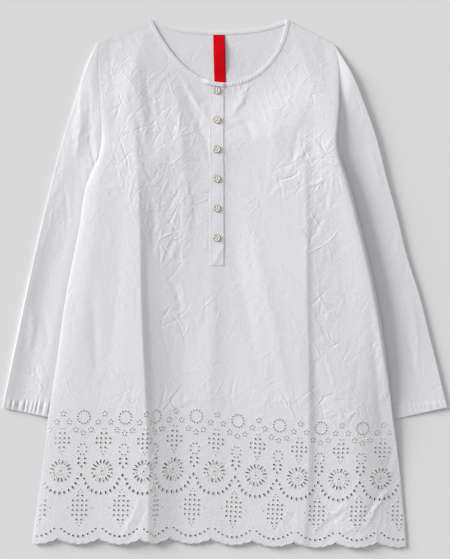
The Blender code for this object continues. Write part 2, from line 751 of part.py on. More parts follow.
def main():
    for obj in list(bpy.data.objects):
        bpy.data.objects.remove(obj, do_unlink=True)
    parts = new_collection("tunic_top")
    cutters = new_collection("cutters")
    cotton = principled("white_cotton", (0.78, 0.78, 0.8), 0.85)
    binding = principled("cotton_binding", (0.8, 0.8, 0.81), 0.8)
    pearl = principled("button_pearl", (0.75, 0.66, 0.53), 0.35)
    red = principled("red_ribbon", (0.5, 0.01, 0.01), 0.5)
    build_body(parts, cutters, cotton)
    build_sleeve("sleeve_right", -1, SLEEVE_RIGHT_RINGS, cotton, parts)
    build_sleeve("sleeve_left", 1, SLEEVE_LEFT_RINGS, cotton, parts)
    build_neck_bindings(parts, binding)
    build_placket(parts, binding)
    build_buttons(parts, cutters, pearl)
    build_label(parts, red)


if __name__ == "__main__":
    main()
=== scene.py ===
"""A tunic top of crinkled white cotton, laid flat: its cloth, creases, openwork, bindings and stitches.

The frame is in metres, +Z up. Sizes below are millimetres on the garment: x runs towards the wearer's
left, "down" is the distance below the neck points, and a height is measured from the floor. A point of
a body panel before it is folded is (across, along): across is x before the fold takes cloth up, and
along is down before the border drifts.
"""

from __future__ import annotations

import logging
import math
from dataclasses import dataclass, field
from enum import Enum
from typing import Callable, NamedTuple, Sequence, TypeVar

import bmesh
import bpy
import numpy as np
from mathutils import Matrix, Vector
from mathutils.geometry import delaunay_2d_cdt
from mathutils.kdtree import KDTree

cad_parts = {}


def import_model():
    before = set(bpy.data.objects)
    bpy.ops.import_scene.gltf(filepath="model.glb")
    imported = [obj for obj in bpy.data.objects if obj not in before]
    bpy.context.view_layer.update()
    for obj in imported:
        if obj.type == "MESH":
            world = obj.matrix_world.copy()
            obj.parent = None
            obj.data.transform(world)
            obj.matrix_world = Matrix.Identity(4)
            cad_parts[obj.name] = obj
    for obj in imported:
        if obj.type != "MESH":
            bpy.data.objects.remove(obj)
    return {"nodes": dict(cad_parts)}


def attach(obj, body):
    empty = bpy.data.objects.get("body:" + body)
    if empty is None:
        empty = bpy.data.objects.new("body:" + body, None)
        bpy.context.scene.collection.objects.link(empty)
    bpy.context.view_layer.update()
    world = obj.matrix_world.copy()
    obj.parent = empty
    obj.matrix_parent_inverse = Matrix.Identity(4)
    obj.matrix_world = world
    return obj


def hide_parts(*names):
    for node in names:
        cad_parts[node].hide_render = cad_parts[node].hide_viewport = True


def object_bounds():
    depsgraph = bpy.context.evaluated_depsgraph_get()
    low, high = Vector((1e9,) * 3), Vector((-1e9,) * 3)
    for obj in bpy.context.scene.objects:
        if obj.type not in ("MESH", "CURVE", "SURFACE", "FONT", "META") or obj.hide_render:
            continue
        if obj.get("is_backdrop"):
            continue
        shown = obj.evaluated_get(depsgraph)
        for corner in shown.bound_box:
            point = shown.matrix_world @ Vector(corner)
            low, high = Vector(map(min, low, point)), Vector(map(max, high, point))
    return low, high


LOG = logging.getLogger("tunic")
Row = TypeVar("Row")
Array = np.ndarray
Colour = tuple[float, float, float]
Point = tuple[float, float]
Piece = bpy.types.Object
Mesh = bpy.types.Mesh
Material = bpy.types.Material
Tree = bpy.types.NodeTree
Node = bpy.types.Node
Socket = bpy.types.NodeSocket
Edges = Callable[[Array], tuple[Array, Array]]  # both side edges at a level
Heights = Callable[[Array, Array], Array]  # height at x and down
Inside = Callable[[Array, float], Array]  # which flat points lie inside by a margin

MM = 0.001
LENGTH = 817.0  # neck point to the lowest scallop
TOP_Y = LENGTH / 2
FLOOR_LAYER = 0.4
UNDERARM = 211.0
CLOTH_MAP = "cloth"  # the UV map of every cloth piece: its own flat coordinates, in metres
CRUMPLE_MAP = "crumpled"  # the attribute that says how crumpled a cloth is at each point


class Side(Enum):
    """A side of the garment as it is worn, with the sign of its x."""

    RIGHT = -1
    LEFT = 1


class Face(Enum):
    """Which way a layer of cloth faces when the garment lies flat."""

    UP = 1
    DOWN = -1


# --- Sizes of the body ---

NECK_LEFT_X, NECK_RIGHT_X, NECK_RIGHT_DOWN = -113.5, 94.2, 0.8
NECK_FRONT_X, NECK_FRONT_DEPTH = -1.9, 98.4
NECK_LOWEST = (NECK_FRONT_X, NECK_FRONT_DEPTH)
NECK_RIGHT_HALF = ((NECK_LEFT_X, 0.0), (-93.3, 43.4), (-54.6, NECK_FRONT_DEPTH), NECK_LOWEST)
NECK_LEFT_HALF = (NECK_LOWEST, (41.5, NECK_FRONT_DEPTH), (86.5, 63.6), (NECK_RIGHT_X, NECK_RIGHT_DOWN))
NECK_BACK = ((NECK_LEFT_X, 0.0), (-77.8, 22.3), (46.2, 26.0), (NECK_RIGHT_X, NECK_RIGHT_DOWN))
SHOULDER_LEFT = (-194.1, 35.7)
SHOULDER_RIGHT = (164.0, 37.2)
SHOULDER_EDGE_LEFT, SHOULDER_EDGE_RIGHT = -197.0, 169.0
BINDING_WIDTH = 6.3
BINDING_LAP = 1.6  # how far a panel runs in under its binding
NECK_STEP = 1.2  # of the front above the back at the neck
SEAM_RUN = 100.0  # from the neck and shoulders to where the front reaches its own height
ROLL_WIDTH, ROLL_WIDTH_RIGHT = 22.0, 7.0  # of the rounded side edges
SLEEVE_RAMP = 20.0  # over which the back comes down to the floor inside a sleeve
NOTCH_LEFT, NOTCH_RIGHT, NOTCH_END = -23.9, -4.2, 377.0
PLACKET_WIDTH, PLACKET_END, PLACKET_BOX = 22.0, 382.0, 361.0
BUTTON_X = -13.2


class Levels(NamedTuple):
    """A table of values that change down the garment. Each row starts with its level."""

    columns: tuple[str, ...]  # their names, after the level
    rows: tuple[tuple[float, ...], ...]

    def read(self, column: str, down: Array) -> Array:
        """Reads a column smoothly at any level.

        Args:
            column: Name of the column.
            down: Levels to read it at.

        Returns:
            Its values there.
        """
        rows = np.array(self.rows, dtype=float)
        knots, values = rows[:, 0], rows[:, 1 + self.columns.index(column)]
        slopes = np.gradient(values, knots)
        row = np.clip(np.searchsorted(knots, down) - 1, 0, len(knots) - 2)
        gap = knots[row + 1] - knots[row]
        t = np.clip((down - knots[row]) / gap, 0, 1)
        return hermite(t, gap, (values[row], values[row + 1]), (slopes[row], slopes[row + 1]))

    def all_at(self, down: Array) -> dict[str, Array]:
        """Every column's values at levels."""
        return {column: self.read(column, down) for column in self.columns}


# Where the folds of the body lie, x
FOLD_LINES = Levels(
    ("left", "lip", "foot", "ridge", "dip", "right"),
    (
        (0, -197, -150, -119, 100, 124, 166), (45, -197, -147, -119, 104, 127, 170),
        (64, -198, -145, -118, 106, 128, 175), (126, -195, -141, -117, 113, 130, 178.5),
        (211, -196, -137, -119, 121, 133, 178), (251, -213, -135, -121, 124, 134, 191),
        (327, -227, -132, -119, 126, 136, 211), (436, -248, -130, -117, 126, 137, 235.5),
        (529, -261, -126, -112, 129, 140, 250), (614, -274, -122, -106, 130, 141, 261),
        (699, -284, -119, -103, 130, 142, 272), (825, -302, -120, -103, 120, 134, 283),
    ),
)
# Height of the front's cloth along its folds
FRONT_HEIGHTS = Levels(
    ("roll_left", "hollow", "lip", "foot", "rise", "placket", "plain")
    + ("ridge", "dip", "swell", "roll_right"),
    (
        (0, 3, 3.6, 4.2, 4.4, 4, 4, 3.3, 3.3, 3.3, 3.2, 3.2),
        (64, 3.9, 5.2, 6.4, 6.2, 5.8, 5.4, 4.9, 5, 5, 5.1, 5.2),
        (126, 5.6, 7, 8.4, 7.9, 7.4, 7, 7.1, 7.5, 7.4, 8.1, 8.6),
        (211, 8.2, 9.4, 10.8, 9.9, 8.8, 8.2, 9.2, 10.8, 10.5, 11.6, 12.6),
        (251, 8.4, 9.9, 11.6, 10.3, 8.6, 8.4, 10.3, 12.6, 12, 12.8, 13.8),
        (327, 8.3, 10, 12, 10, 8.2, 8.4, 10.9, 13.8, 12.9, 13, 14.4),
        (436, 8.3, 10.1, 12.4, 9.6, 7.6, 8.2, 10.9, 13.7, 12.4, 12.8, 14.2),
        (529, 8, 9.6, 12.2, 8.9, 6.2, 7.5, 9.8, 12.3, 11, 11.6, 11.9),
        (614, 7, 8.5, 10.9, 8, 5.6, 6.1, 7.9, 10, 8.7, 9.5, 6.6),
        (699, 5.2, 6.6, 9.2, 7.2, 4.3, 4.6, 5.5, 7.2, 6, 7.4, 3),
        (825, 3.7, 4.3, 7.1, 5.2, 2.9, 3.3, 3.8, 4.6, 3.8, 5, 2.2),
    ),
)
# Heights of the back, and where each sleeve ends under it, x
BACK_LEVELS = Levels(
    ("seam_left", "over_left", "inner_left", "inner_right", "over_right", "seam_right"),
    (
        (0, 0.5, 0.5, -170, 145, 0.5, 0.5), (64, 1.5, 0.5, -170, 145, 0.5, 1.5),
        (126, 2, 0.5, -170, 145, 0.5, 2), (175, 3.6, 2, -170, 148, 2, 4.6),
        (211, 5.8, 4.6, -168, 149, 4.6, 7.8), (251, 5.6, 4.6, -158, 144, 4.6, 7.6),
        (327, 5.6, 4.6, -148, 133, 4.6, 7.6), (436, 5.6, 4.6, -154, 147, 4.6, 7.6),
        (529, 5.6, 4.6, -182, 186, 4.6, 7.6), (614, 5.1, 4.6, -219, 220, 4.6, 5.4),
        (645, 4.8, 4.6, -224, 226, 4.6, 4.2), (699, 3.6, 0.5, -224, 226, 0.5, 1.3),
        (825, 1.8, 0.5, -224, 226, 0.5, 0.5),
    ),
)


def rows_of(kind: Callable[..., Row], *rows: Sequence[float]) -> tuple[Row, ...]:
    """The rows of a table, each as one kind of named tuple."""
    return tuple(kind(*row) for row in rows)


class SleeveRing(NamedTuple):
    """One ring of a flattened sleeve, from its outer fold to its inner fold."""

    outer_x: float
    outer_down: float
    inner_x: float
    inner_down: float
    shown: float  # share of the width that the body leaves bare
    puff: float  # how far the bare share stands above the flat


SLEEVE_RIGHT_RINGS = rows_of(
    SleeveRing,
    (-213, 70, -197.6, 216, 1, 4.5), (-227, 113, -200, 227, 0.95, 4), (-241, 156, -198, 241, 0.76, 3.8),
    (-257, 210, -190, 266, 0.62, 3.5), (-273, 274, -174, 300, 0.5, 3.2), (-292, 354, -162, 338, 0.44, 3),
    (-309, 432, -164, 402, 0.4, 3), (-322, 495, -180, 470, 0.41, 3), (-334, 552, -206, 540, 0.46, 3),
    (-342, 591, -224, 594, 0.52, 2.6), (-344, 603, -231, 626, 0.56, 2.2),
)
SLEEVE_LEFT_RINGS = rows_of(
    SleeveRing,
    (198, 88, 177, 216, 1, 4.5), (217, 135, 179.5, 227, 0.95, 4), (235, 187, 179, 241, 0.76, 3.6),
    (251, 250, 171, 262, 0.64, 3.2), (264, 296, 158, 296, 0.5, 3), (281, 365, 147, 338, 0.44, 2.8),
    (302, 432, 156, 402, 0.38, 2.6), (317, 492, 178, 470, 0.38, 2.6), (331, 548, 206, 540, 0.42, 2.6),
    (341, 590, 226, 594, 0.47, 2.4), (344, 602, 231, 627, 0.5, 2.2),
)
# How a sleeve rises and falls from its outer fold (0) to the body's edge (1), as shares of its puff
RIGHT_UPPER_ARM = ((0, 0.2), (0.2, 0.5), (0.4, 0.7), (0.6, 0.74), (0.8, 0.8), (1, 1.1), (1.4, 1.1))
RIGHT_FOREARM = ((0, 0.75), (0.1, 0.6), (0.3, 0.25), (0.5, 0.12), (0.7, 0.32), (1, 0.72), (1.4, 0.7), (4, 0))
LEFT_UPPER_ARM = ((0, 0.86), (0.1, 0.84), (0.35, 0.66), (0.6, 0.42), (0.85, 0.4), (1, 0.55), (4, 0))
LEFT_FOREARM = ((0, 0.62), (0.16, 0.54), (0.36, 0.4), (0.52, 0.26), (0.72, 0.1), (0.9, 0), (4, 0))


class Crease(NamedTuple):
    """A ridge between two points of the cloth, or a trough where its height is negative."""

    x: float
    down: float
    to_x: float
    to_down: float
    width: float
    height: float
    bow: float = 0.0  # how far its middle bulges towards +x of a crease that runs down
    lean: float = 0.0  # above 0 its left flank is the steep one


FRONT_CREASES = rows_of(
    Crease,
    # shoulder and armhole, wearer's right
    (-188, 39, -185, 138, 2.6, 1.5, 5), (-144, 18, -126, 56, 3, -1.4, -2),
    # broad soft folds
    (-172, 64, -233, 560, 17, 1.7), (-158, 240, -186, 600, 14, -1.4, 4),
    (-20, 372, -24, 600, 12, 1.6, 3), (26, 262, 98, 596, 13, 1.9, 3), (0, 300, 52, 560, 12, -1.6, 3),
    (72, 110, 92, 280, 14, 1.6, -4), (122, 470, 150, 660, 14, -1.6, 4), (222, 440, 244, 660, 9, -2.6, 2),
    # broad hollows that run from the neck to the bust dart
    (-128, 74, -114, 215, 11, -4.2, 6), (-146, 96, -118, 228, 7, -2.4, -4),
    (-106, 92, -102, 200, 6, -1.8, 3), (-84, 84, -70, 236, 11, 2.8, 7),
    (-70, 84, -23, 158, 5.5, 2.4, -3, 0.4), (-62, 120, -30, 205, 8, -2.4, 5),
    (-68, 168, -62, 372, 13, 2.2, 3), (-45, 170, -26, 240, 4, 1.4, 3), (-33, 165, -28, 215, 3, -1.8, 2),
    # bust dart, wearer's right, and the lines that fan out of it
    (-166, 219, -137, 244, 2.4, 1.8, 0, 0.3), (-164, 224, -138, 248, 2.6, -1.5),
    (-176, 232, -158, 262, 3, -1.3, 4), (-160, 196, -142, 232, 4, -1.5, 4),
    (-141, 216, -115, 264, 2.2, 1.7, 1), (-133, 208, -112, 256, 2.6, -1.6, -1),
    (-118, 265, -88, 238, 2.4, 1.5, 2), (-99, 266, -98, 296, 2.4, -1.6), (-82, 276, -62, 248, 2.6, 1.5),
    (-76, 276, -101, 376, 4.2, 2.6, 5, 0.3), (-116, 262, -112, 372, 7, -2.6, 3),
    (-67, 231, -42, 360, 2.8, 1.9, 2, 0.4), (-57, 250, -48, 350, 5, -1.3, 5),
    (-132, 300, -128, 316, 3, -1.6),
    # below the dart, between the fold and the placket
    (-90, 396, -70, 452, 5, -1.8, 5), (-72, 420, -58, 500, 4.6, -1.8, -4),
    (-96, 440, -62, 486, 4, 1.6, 3), (-104, 470, -84, 540, 4, -1.5, 3), (-46, 470, -40, 520, 2.6, -1.3),
    (-75, 553, -40, 540, 2.4, 1.4), (-92, 610, -40, 588, 3.4, 2.2, 3, 0.3),
    (-40, 588, 8, 582, 2.8, 1.4, -2), (-98, 606, -74, 568, 2.8, 1.5, -2), (-86, 604, -50, 600, 3, -1.3),
    # the panel left of the fold
    (-208, 424, -202, 566, 9, -1.8, 4), (-178, 592, -124, 580, 2.8, 1.5, -3),
    (-130, 738, -165, 812, 4.4, 3.2, 2, 0.2), (-122, 752, -150, 812, 4.4, -2.6, 2),
    (-108, 672, -132, 706, 3.4, 2, 2), (-104, 650, -118, 690, 3.6, -1.6), (-100, 610, -108, 672, 3, 1.5),
    (-86, 786, -32, 794, 3, 1.6, -2),
    # neck and yoke, wearer's left
    (2, 110, 28, 99, 2, 1.5), (2, 118, 34, 106, 2.2, -1.4), (9, 152, 36, 103, 6.5, 2.6, -3, 0.3),
    (-1, 166, 40, 153, 2.4, 1.6, 2), (4, 174, 42, 160, 3, -1.5, 2), (22, 152, 44, 190, 6, -2.2, 4),
    (38, 96, 70, 172, 2.6, 1.8, 2, 0.3), (70, 172, 62, 284, 4.5, 1.3, 4), (70, 75, 97, 128, 3, -1.8, -2),
    (92, 58, 110, 96, 2.4, -1.5, -3), (110, 94, 106, 120, 2.2, -1.3), (100, 118, 122, 146, 2.4, 1.5),
    (136, 92, 120, 148, 2.8, 1.5, 3), (121, 146, 117, 198, 4, -2, 2), (150, 84, 168, 136, 2.4, -1.3, 3),
    (164, 128, 173, 178, 2.2, 1.4, 2), (98, 124, 79, 180, 3, 1.3, 3),
    # bust dart, wearer's left, and its fan
    (164, 205, 116, 220, 2.2, 2, 1, 0.3), (162, 211, 112, 229, 2.6, -1.9, 1),
    (158, 216, 124, 230, 2, 1.3), (137, 184, 88, 254, 3.6, 2.6, -3, 0.3),
    (142, 194, 100, 250, 3.2, -1.6, -3), (118, 160, 104, 236, 5, -1.7, -3), (94, 248, 66, 280, 2.8, 1.7),
    (152, 226, 131, 250, 2.6, -1.8, 2), (158, 230, 138, 262, 2.4, 1.6, 3),
    (152, 258, 152, 306, 3.4, -3, 4), (152, 304, 127, 346, 3.2, -3.2, 3, -0.3),
    (146, 286, 126, 314, 2.4, 2.2, 2), (142, 300, 128, 330, 2.2, -1.4), (133, 262, 148, 276, 2.4, 1.8),
    (134, 276, 146, 288, 2.2, -1.4), (164, 214, 161, 292, 3, 1.6, 3), (144, 244, 136, 274, 2.2, -1.3),
    # right of the fold
    (160, 350, 146, 404, 3, -1.3, 3), (160, 426, 181, 430, 2.6, -1.8, -2),
    (166, 400, 182, 432, 2.4, 1.3), (126, 438, 154, 505, 2.6, 2.2, 1, 0.4),
    (132, 436, 162, 512, 3.4, -1.4, 1), (154, 505, 171, 578, 2.2, 2.2, -1, 0.4),
    (150, 520, 168, 576, 2.8, -1.3, -1), (171, 454, 174, 515, 2.4, 1.5, 1),
    (150, 521, 133, 551, 2.2, -2, 1), (204, 520, 196, 600, 4, -1.4, 3),
    (230, 548, 246, 600, 2.8, 1.6, 2), (222, 556, 214, 612, 4, -1.6, 3),
    (144, 572, 156, 600, 2.6, -1.5, 3), (138, 590, 152, 612, 2.4, 1.4, 2),
    (148, 596, 142, 618, 2.2, -1.5), (129, 612, 182, 604, 2.6, 2, -2, 0.3),
    (132, 620, 176, 614, 2.6, -1.3, -2), (184, 632, 212, 598, 2.6, 1.4, 3),
    (206, 600, 214, 626, 2.4, -1.4),
    # border, wearer's left
    (203, 650, 242, 648, 2.6, -2.2, 2), (220, 654, 258, 638, 2.6, -1.8, 2),
    (262, 654, 240, 718, 2.8, -2.2, 3), (268, 662, 252, 716, 2.6, 1.4, 3),
    (256, 724, 217, 790, 3.4, 4.6, -1, -0.4), (248, 724, 208, 786, 3.6, -3.4, -1),
    (218, 790, 170, 791, 2.6, 2.6, 2), (212, 797, 172, 799, 3, -2.2, 2), (195, 749, 160, 769, 4.2, 3, 2),
    (160, 768, 132, 802, 4.4, 3.2, 1, -0.2), (190, 760, 150, 786, 4, -2.4, 2),
    (212, 706, 186, 742, 2.6, 1.3, 3), (96, 760, 80, 803, 3.6, 1.7, 2), (108, 752, 96, 800, 4, -1.3, 2),
    # centre, wearer's left
    (2, 246, 56, 312, 3, -1.3, -4, 0.3), (34, 225, 56, 300, 3, -1.3, 3), (55, 276, 59, 316, 2.2, -1.3),
    (52, 409, 73, 432, 2.4, -1.3), (73, 432, 102, 408, 2.4, 1.3), (103, 458, 104, 486, 2.2, -1.4),
    (78, 594, 130, 583, 3, 1.6, -2, 0.3), (0, 594, 52, 562, 2.8, 1.3, 2),
)
BACK_CREASES = rows_of(
    Crease,
    (30, 52, 16, 92, 2.6, 1.8, 2, 0.3), (33, 56, 22, 92, 3, -1, 2), (34, 50, 42, 84, 2.4, 1.1),
    (8, 32, 22, 58, 2.6, 1.1), (4, 66, 24, 50, 2.6, -1), (60, 34, 48, 78, 4, -1.1, 3),
    (-66, 30, -50, 72, 3.4, 0.9, 3), (-84, 22, -70, 60, 3.4, -1, 3), (-36, 38, -30, 84, 3, 0.8, 2),
    (-120, 110, -104, 240, 8, 1.4, 5), (92, 120, 80, 260, 7, 1.3, -5), (-60, 280, -48, 470, 9, 1.5, 6),
    (40, 300, 60, 520, 9, 1.4, -6), (-96, 420, -70, 560, 5, 1.2, 4), (4, 460, 20, 640, 6, 1.3, 4),
    (100, 470, 84, 600, 5, 1.2, 4),
)
SLEEVE_RIGHT_CREASES = rows_of(
    Crease,
    (-244, 194, -204, 188, 2.6, -2.2, 1), (-244, 201, -206, 195, 2.8, 1.6, 1),
    (-250, 190, -256, 258, 3, 1.7, 2, 0.3), (-256, 256, -276, 282, 2.6, 2),
    (-252, 262, -270, 294, 2.8, -1.6), (-250, 254, -246, 330, 3.2, -2.6, 2),
    (-243, 262, -240, 322, 3.4, 1.6, 2), (-265, 286, -288, 360, 3.4, 2.2, 2, 0.3),
    (-270, 300, -284, 346, 3, -1.8, 2), (-256, 326, -272, 376, 3, 1.8, 2),
    (-248, 340, -262, 386, 3, -1.4, 2), (-300, 446, -306, 520, 6, 2.2, 4),
    (-284, 452, -276, 520, 6, -1.4, 3), (-328, 536, -286, 578, 3, 2, 2),
    (-314, 522, -290, 560, 3.2, -1.8, 3), (-302, 514, -280, 548, 3, 1.6, 3),
    (-330, 552, -304, 584, 2.8, -1.6, 2), (-280, 548, -290, 578, 2.8, 1.6, 2),
    (-272, 552, -280, 590, 3, -1.6, 2), (-212, 92, -212, 222, 6, -2, 2),
    (-224, 100, -232, 220, 7, 2.6, 3), (-244, 146, -236, 232, 5, -1, 3),
    (-214, 190, -206, 226, 3, -1.4, 2),
)
SLEEVE_LEFT_CREASES = rows_of(
    Crease,
    (206, 110, 216, 134, 3, 1.6), (216, 140, 206, 178, 3.4, 2, 2), (222, 200, 240, 262, 5, 1.4, 3),
    (270, 330, 262, 374, 4, 2.6, 2), (262, 322, 252, 366, 3.4, -2.2, 2),
    (284, 352, 274, 400, 4, -1.6, 3), (270, 366, 284, 378, 2.6, 1.6), (284, 420, 300, 540, 7, 1.6, 4),
    (276, 470, 292, 560, 6, -1.4, 4), (330, 574, 312, 580, 2.4, 1.2),
)


class Patch(NamedTuple):
    """A part of a panel that is more crumpled than the rest, or smoother below 0."""

    x: float
    down: float
    reach_x: float
    reach_down: float
    strength: float


FRONT_PATCHES = rows_of(
    Patch,
    (-135, 120, 55, 80, 0.28), (-165, 80, 30, 60, 0.1), (-75, 160, 40, 60, 0.14),
    (-135, 243, 44, 36, 0.46), (-82, 310, 46, 74, 0.34), (-70, 220, 40, 50, 0.12),
    (-62, 460, 38, 45, 0.22), (-70, 592, 50, 24, 0.25), (-150, 590, 40, 24, 0.2),
    (-100, 690, 34, 40, 0.2), (110, 110, 45, 55, 0.18), (140, 230, 38, 60, 0.45),
    (142, 320, 28, 50, 0.4), (160, 480, 32, 80, 0.28), (170, 605, 60, 26, 0.35),
    (200, 760, 60, 40, 0.25), (15, 115, 26, 28, 0.2), (40, 280, 30, 40, 0.14), (90, 590, 40, 20, 0.2),
    (-200, 740, 110, 80, -0.09), (60, 740, 160, 60, -0.07),
)
BACK_PATCHES = rows_of(
    Patch,
    (20, 60, 60, 30, 0.15), (-20, 420, 120, 160, 0.15),
)
SLEEVE_PATCHES = rows_of(
    Patch,
    (-225, 110, 22, 50, 0.1), (-240, 195, 24, 34, 0.16), (-262, 320, 26, 60, 0.2),
    (-300, 555, 40, 40, 0.12), (215, 150, 14, 50, 0.05),
)


# --- Small mathematics ---


def ease(share: Array | float) -> Array:
    """0 to 1 with level ends, from a share that is clipped to 0 and 1."""
    share = np.clip(share, 0.0, 1.0)
    return share * share * (3 - 2 * share)


def blend(start: Array | float, end: Array | float, share: Array | float) -> Array:
    """The value a share of the way from start to end."""
    return start + (end - start) * share


def hermite(t: Array, gap: Array, ends: Sequence[Array], slopes: Sequence[Array]) -> Array:
    """A smooth curve from one knot to the next.

    Args:
        t: Share of the way between them.
        gap: Distance between them.
        ends: Its heights at the two knots.
        slopes: Its slopes there.

    Returns:
        Its heights.
    """
    start = (1 + 2 * t) * (1 - t) ** 2 * ends[0] + t * (1 - t) ** 2 * gap * slopes[0]
    end = t * t * (3 - 2 * t) * ends[1] + t * t * (t - 1) * gap * slopes[1]
    return start + end


def steady_slopes(slope: Array, gap: Array) -> Array:
    """Slopes at the knots of a curve that never overshoots them.

    Args:
        slope: Slope of each span between two knots.
        gap: Length of each span.

    Returns:
        The slope at each knot.
    """
    near, far = gap[:-1] + 2 * gap[1:], 2 * gap[:-1] + gap[1:]
    same_way = slope[:-1] * slope[1:] > 1e-9
    before, after = np.where(same_way, slope[:-1], 1.0), np.where(same_way, slope[1:], 1.0)
    middle = np.where(same_way, (near + far) / (near / before + far / after), 0.0)
    return np.concatenate([slope[:1], middle, slope[-1:]])


def through(x: Array, knots: Sequence[tuple[Array, Array]], sharp: Sequence[int] = ()) -> Array:
    """A smooth profile through knots, with a crisp crest at those that are sharp.

    Args:
        x: Where to read it.
        knots: Places and heights, each an array like x.
        sharp: Numbers of the knots that keep a crisp crest.

    Returns:
        The profile's heights.
    """
    places, heights = (np.stack([knot[part] for knot in knots]) for part in (0, 1))
    gap = np.maximum(np.diff(places, axis=0), 0.5)
    slope = np.diff(heights, axis=0) / gap
    arriving = steady_slopes(slope, gap)
    leaving = arriving.copy()
    for knot in sharp:
        arriving[knot], leaving[knot] = slope[knot - 1], slope[knot]
    height = heights[0]
    for span in range(len(knots) - 1):
        t = np.clip((x - places[span]) / gap[span], 0, 1)
        curve = hermite(t, gap[span], heights[span : span + 2], (leaving[span], arriving[span + 1]))
        height = np.where(x > places[span], curve, height)
    return height


def softened(x: Array, knots: Sequence[Point], softness: float) -> Array:
    """A polyline's height at x, with its corners rounded.

    Args:
        x: Where to read it.
        knots: Its corners.
        softness: Reach of the rounding.

    Returns:
        The heights.
    """
    places, heights = np.array(knots).T
    height = np.zeros(np.shape(x))
    steps = np.linspace(-2.4, 2.4, 25)
    weights = np.exp(-0.5 * steps**2)
    for step, weight in zip(steps, weights / weights.sum()):
        height += weight * np.interp(x + softness * step, places, heights)
    return height


def bezier(points: Sequence[Point], steps: int) -> Array:
    """Points along a cubic curve.

    Args:
        points: Its four control points.
        steps: How many spans to divide it into.

    Returns:
        The points, one a row.
    """
    a, b, c, d = (np.array(p, dtype=float) for p in points)
    t = np.linspace(0, 1, steps + 1)[:, None]
    return a * (1 - t) ** 3 + 3 * b * (1 - t) ** 2 * t + 3 * c * (1 - t) * t**2 + d * t**3


def moved_in(path: Array, distance: float) -> Array:
    """The path moved square to itself, into the garment.

    Args:
        path: Points (x, down), from the wearer's right to their left.
        distance: How far to move it.

    Returns:
        The moved path.
    """
    run = np.gradient(path, axis=0)
    run /= np.linalg.norm(run, axis=1)[:, None]
    return path + distance * np.stack([-run[:, 1], run[:, 0]], axis=1)


def reach_along(path: Array) -> Array:
    """How far along a path each of its points is."""
    return np.concatenate([[0.0], np.cumsum(np.linalg.norm(np.diff(path, axis=0), axis=1))])


def even(path: Array, spacing: float) -> Array:
    """The path with its points about one spacing apart.

    Args:
        path: Points, one a row.
        spacing: Distance between the new points.

    Returns:
        The new points.
    """
    reach = reach_along(path)
    marks = np.linspace(0, reach[-1], max(2, round(reach[-1] / spacing) + 1))
    return np.stack([np.interp(marks, reach, values) for values in path.T], axis=1)


def place(x: Array, down: Array, height: Array) -> Array:
    """Points of the model in metres, one a row, from millimetres on the garment."""
    return np.stack([x * MM, (TOP_Y - down) * MM, height * MM], axis=-1)


# --- Relief: creases and crinkles ---


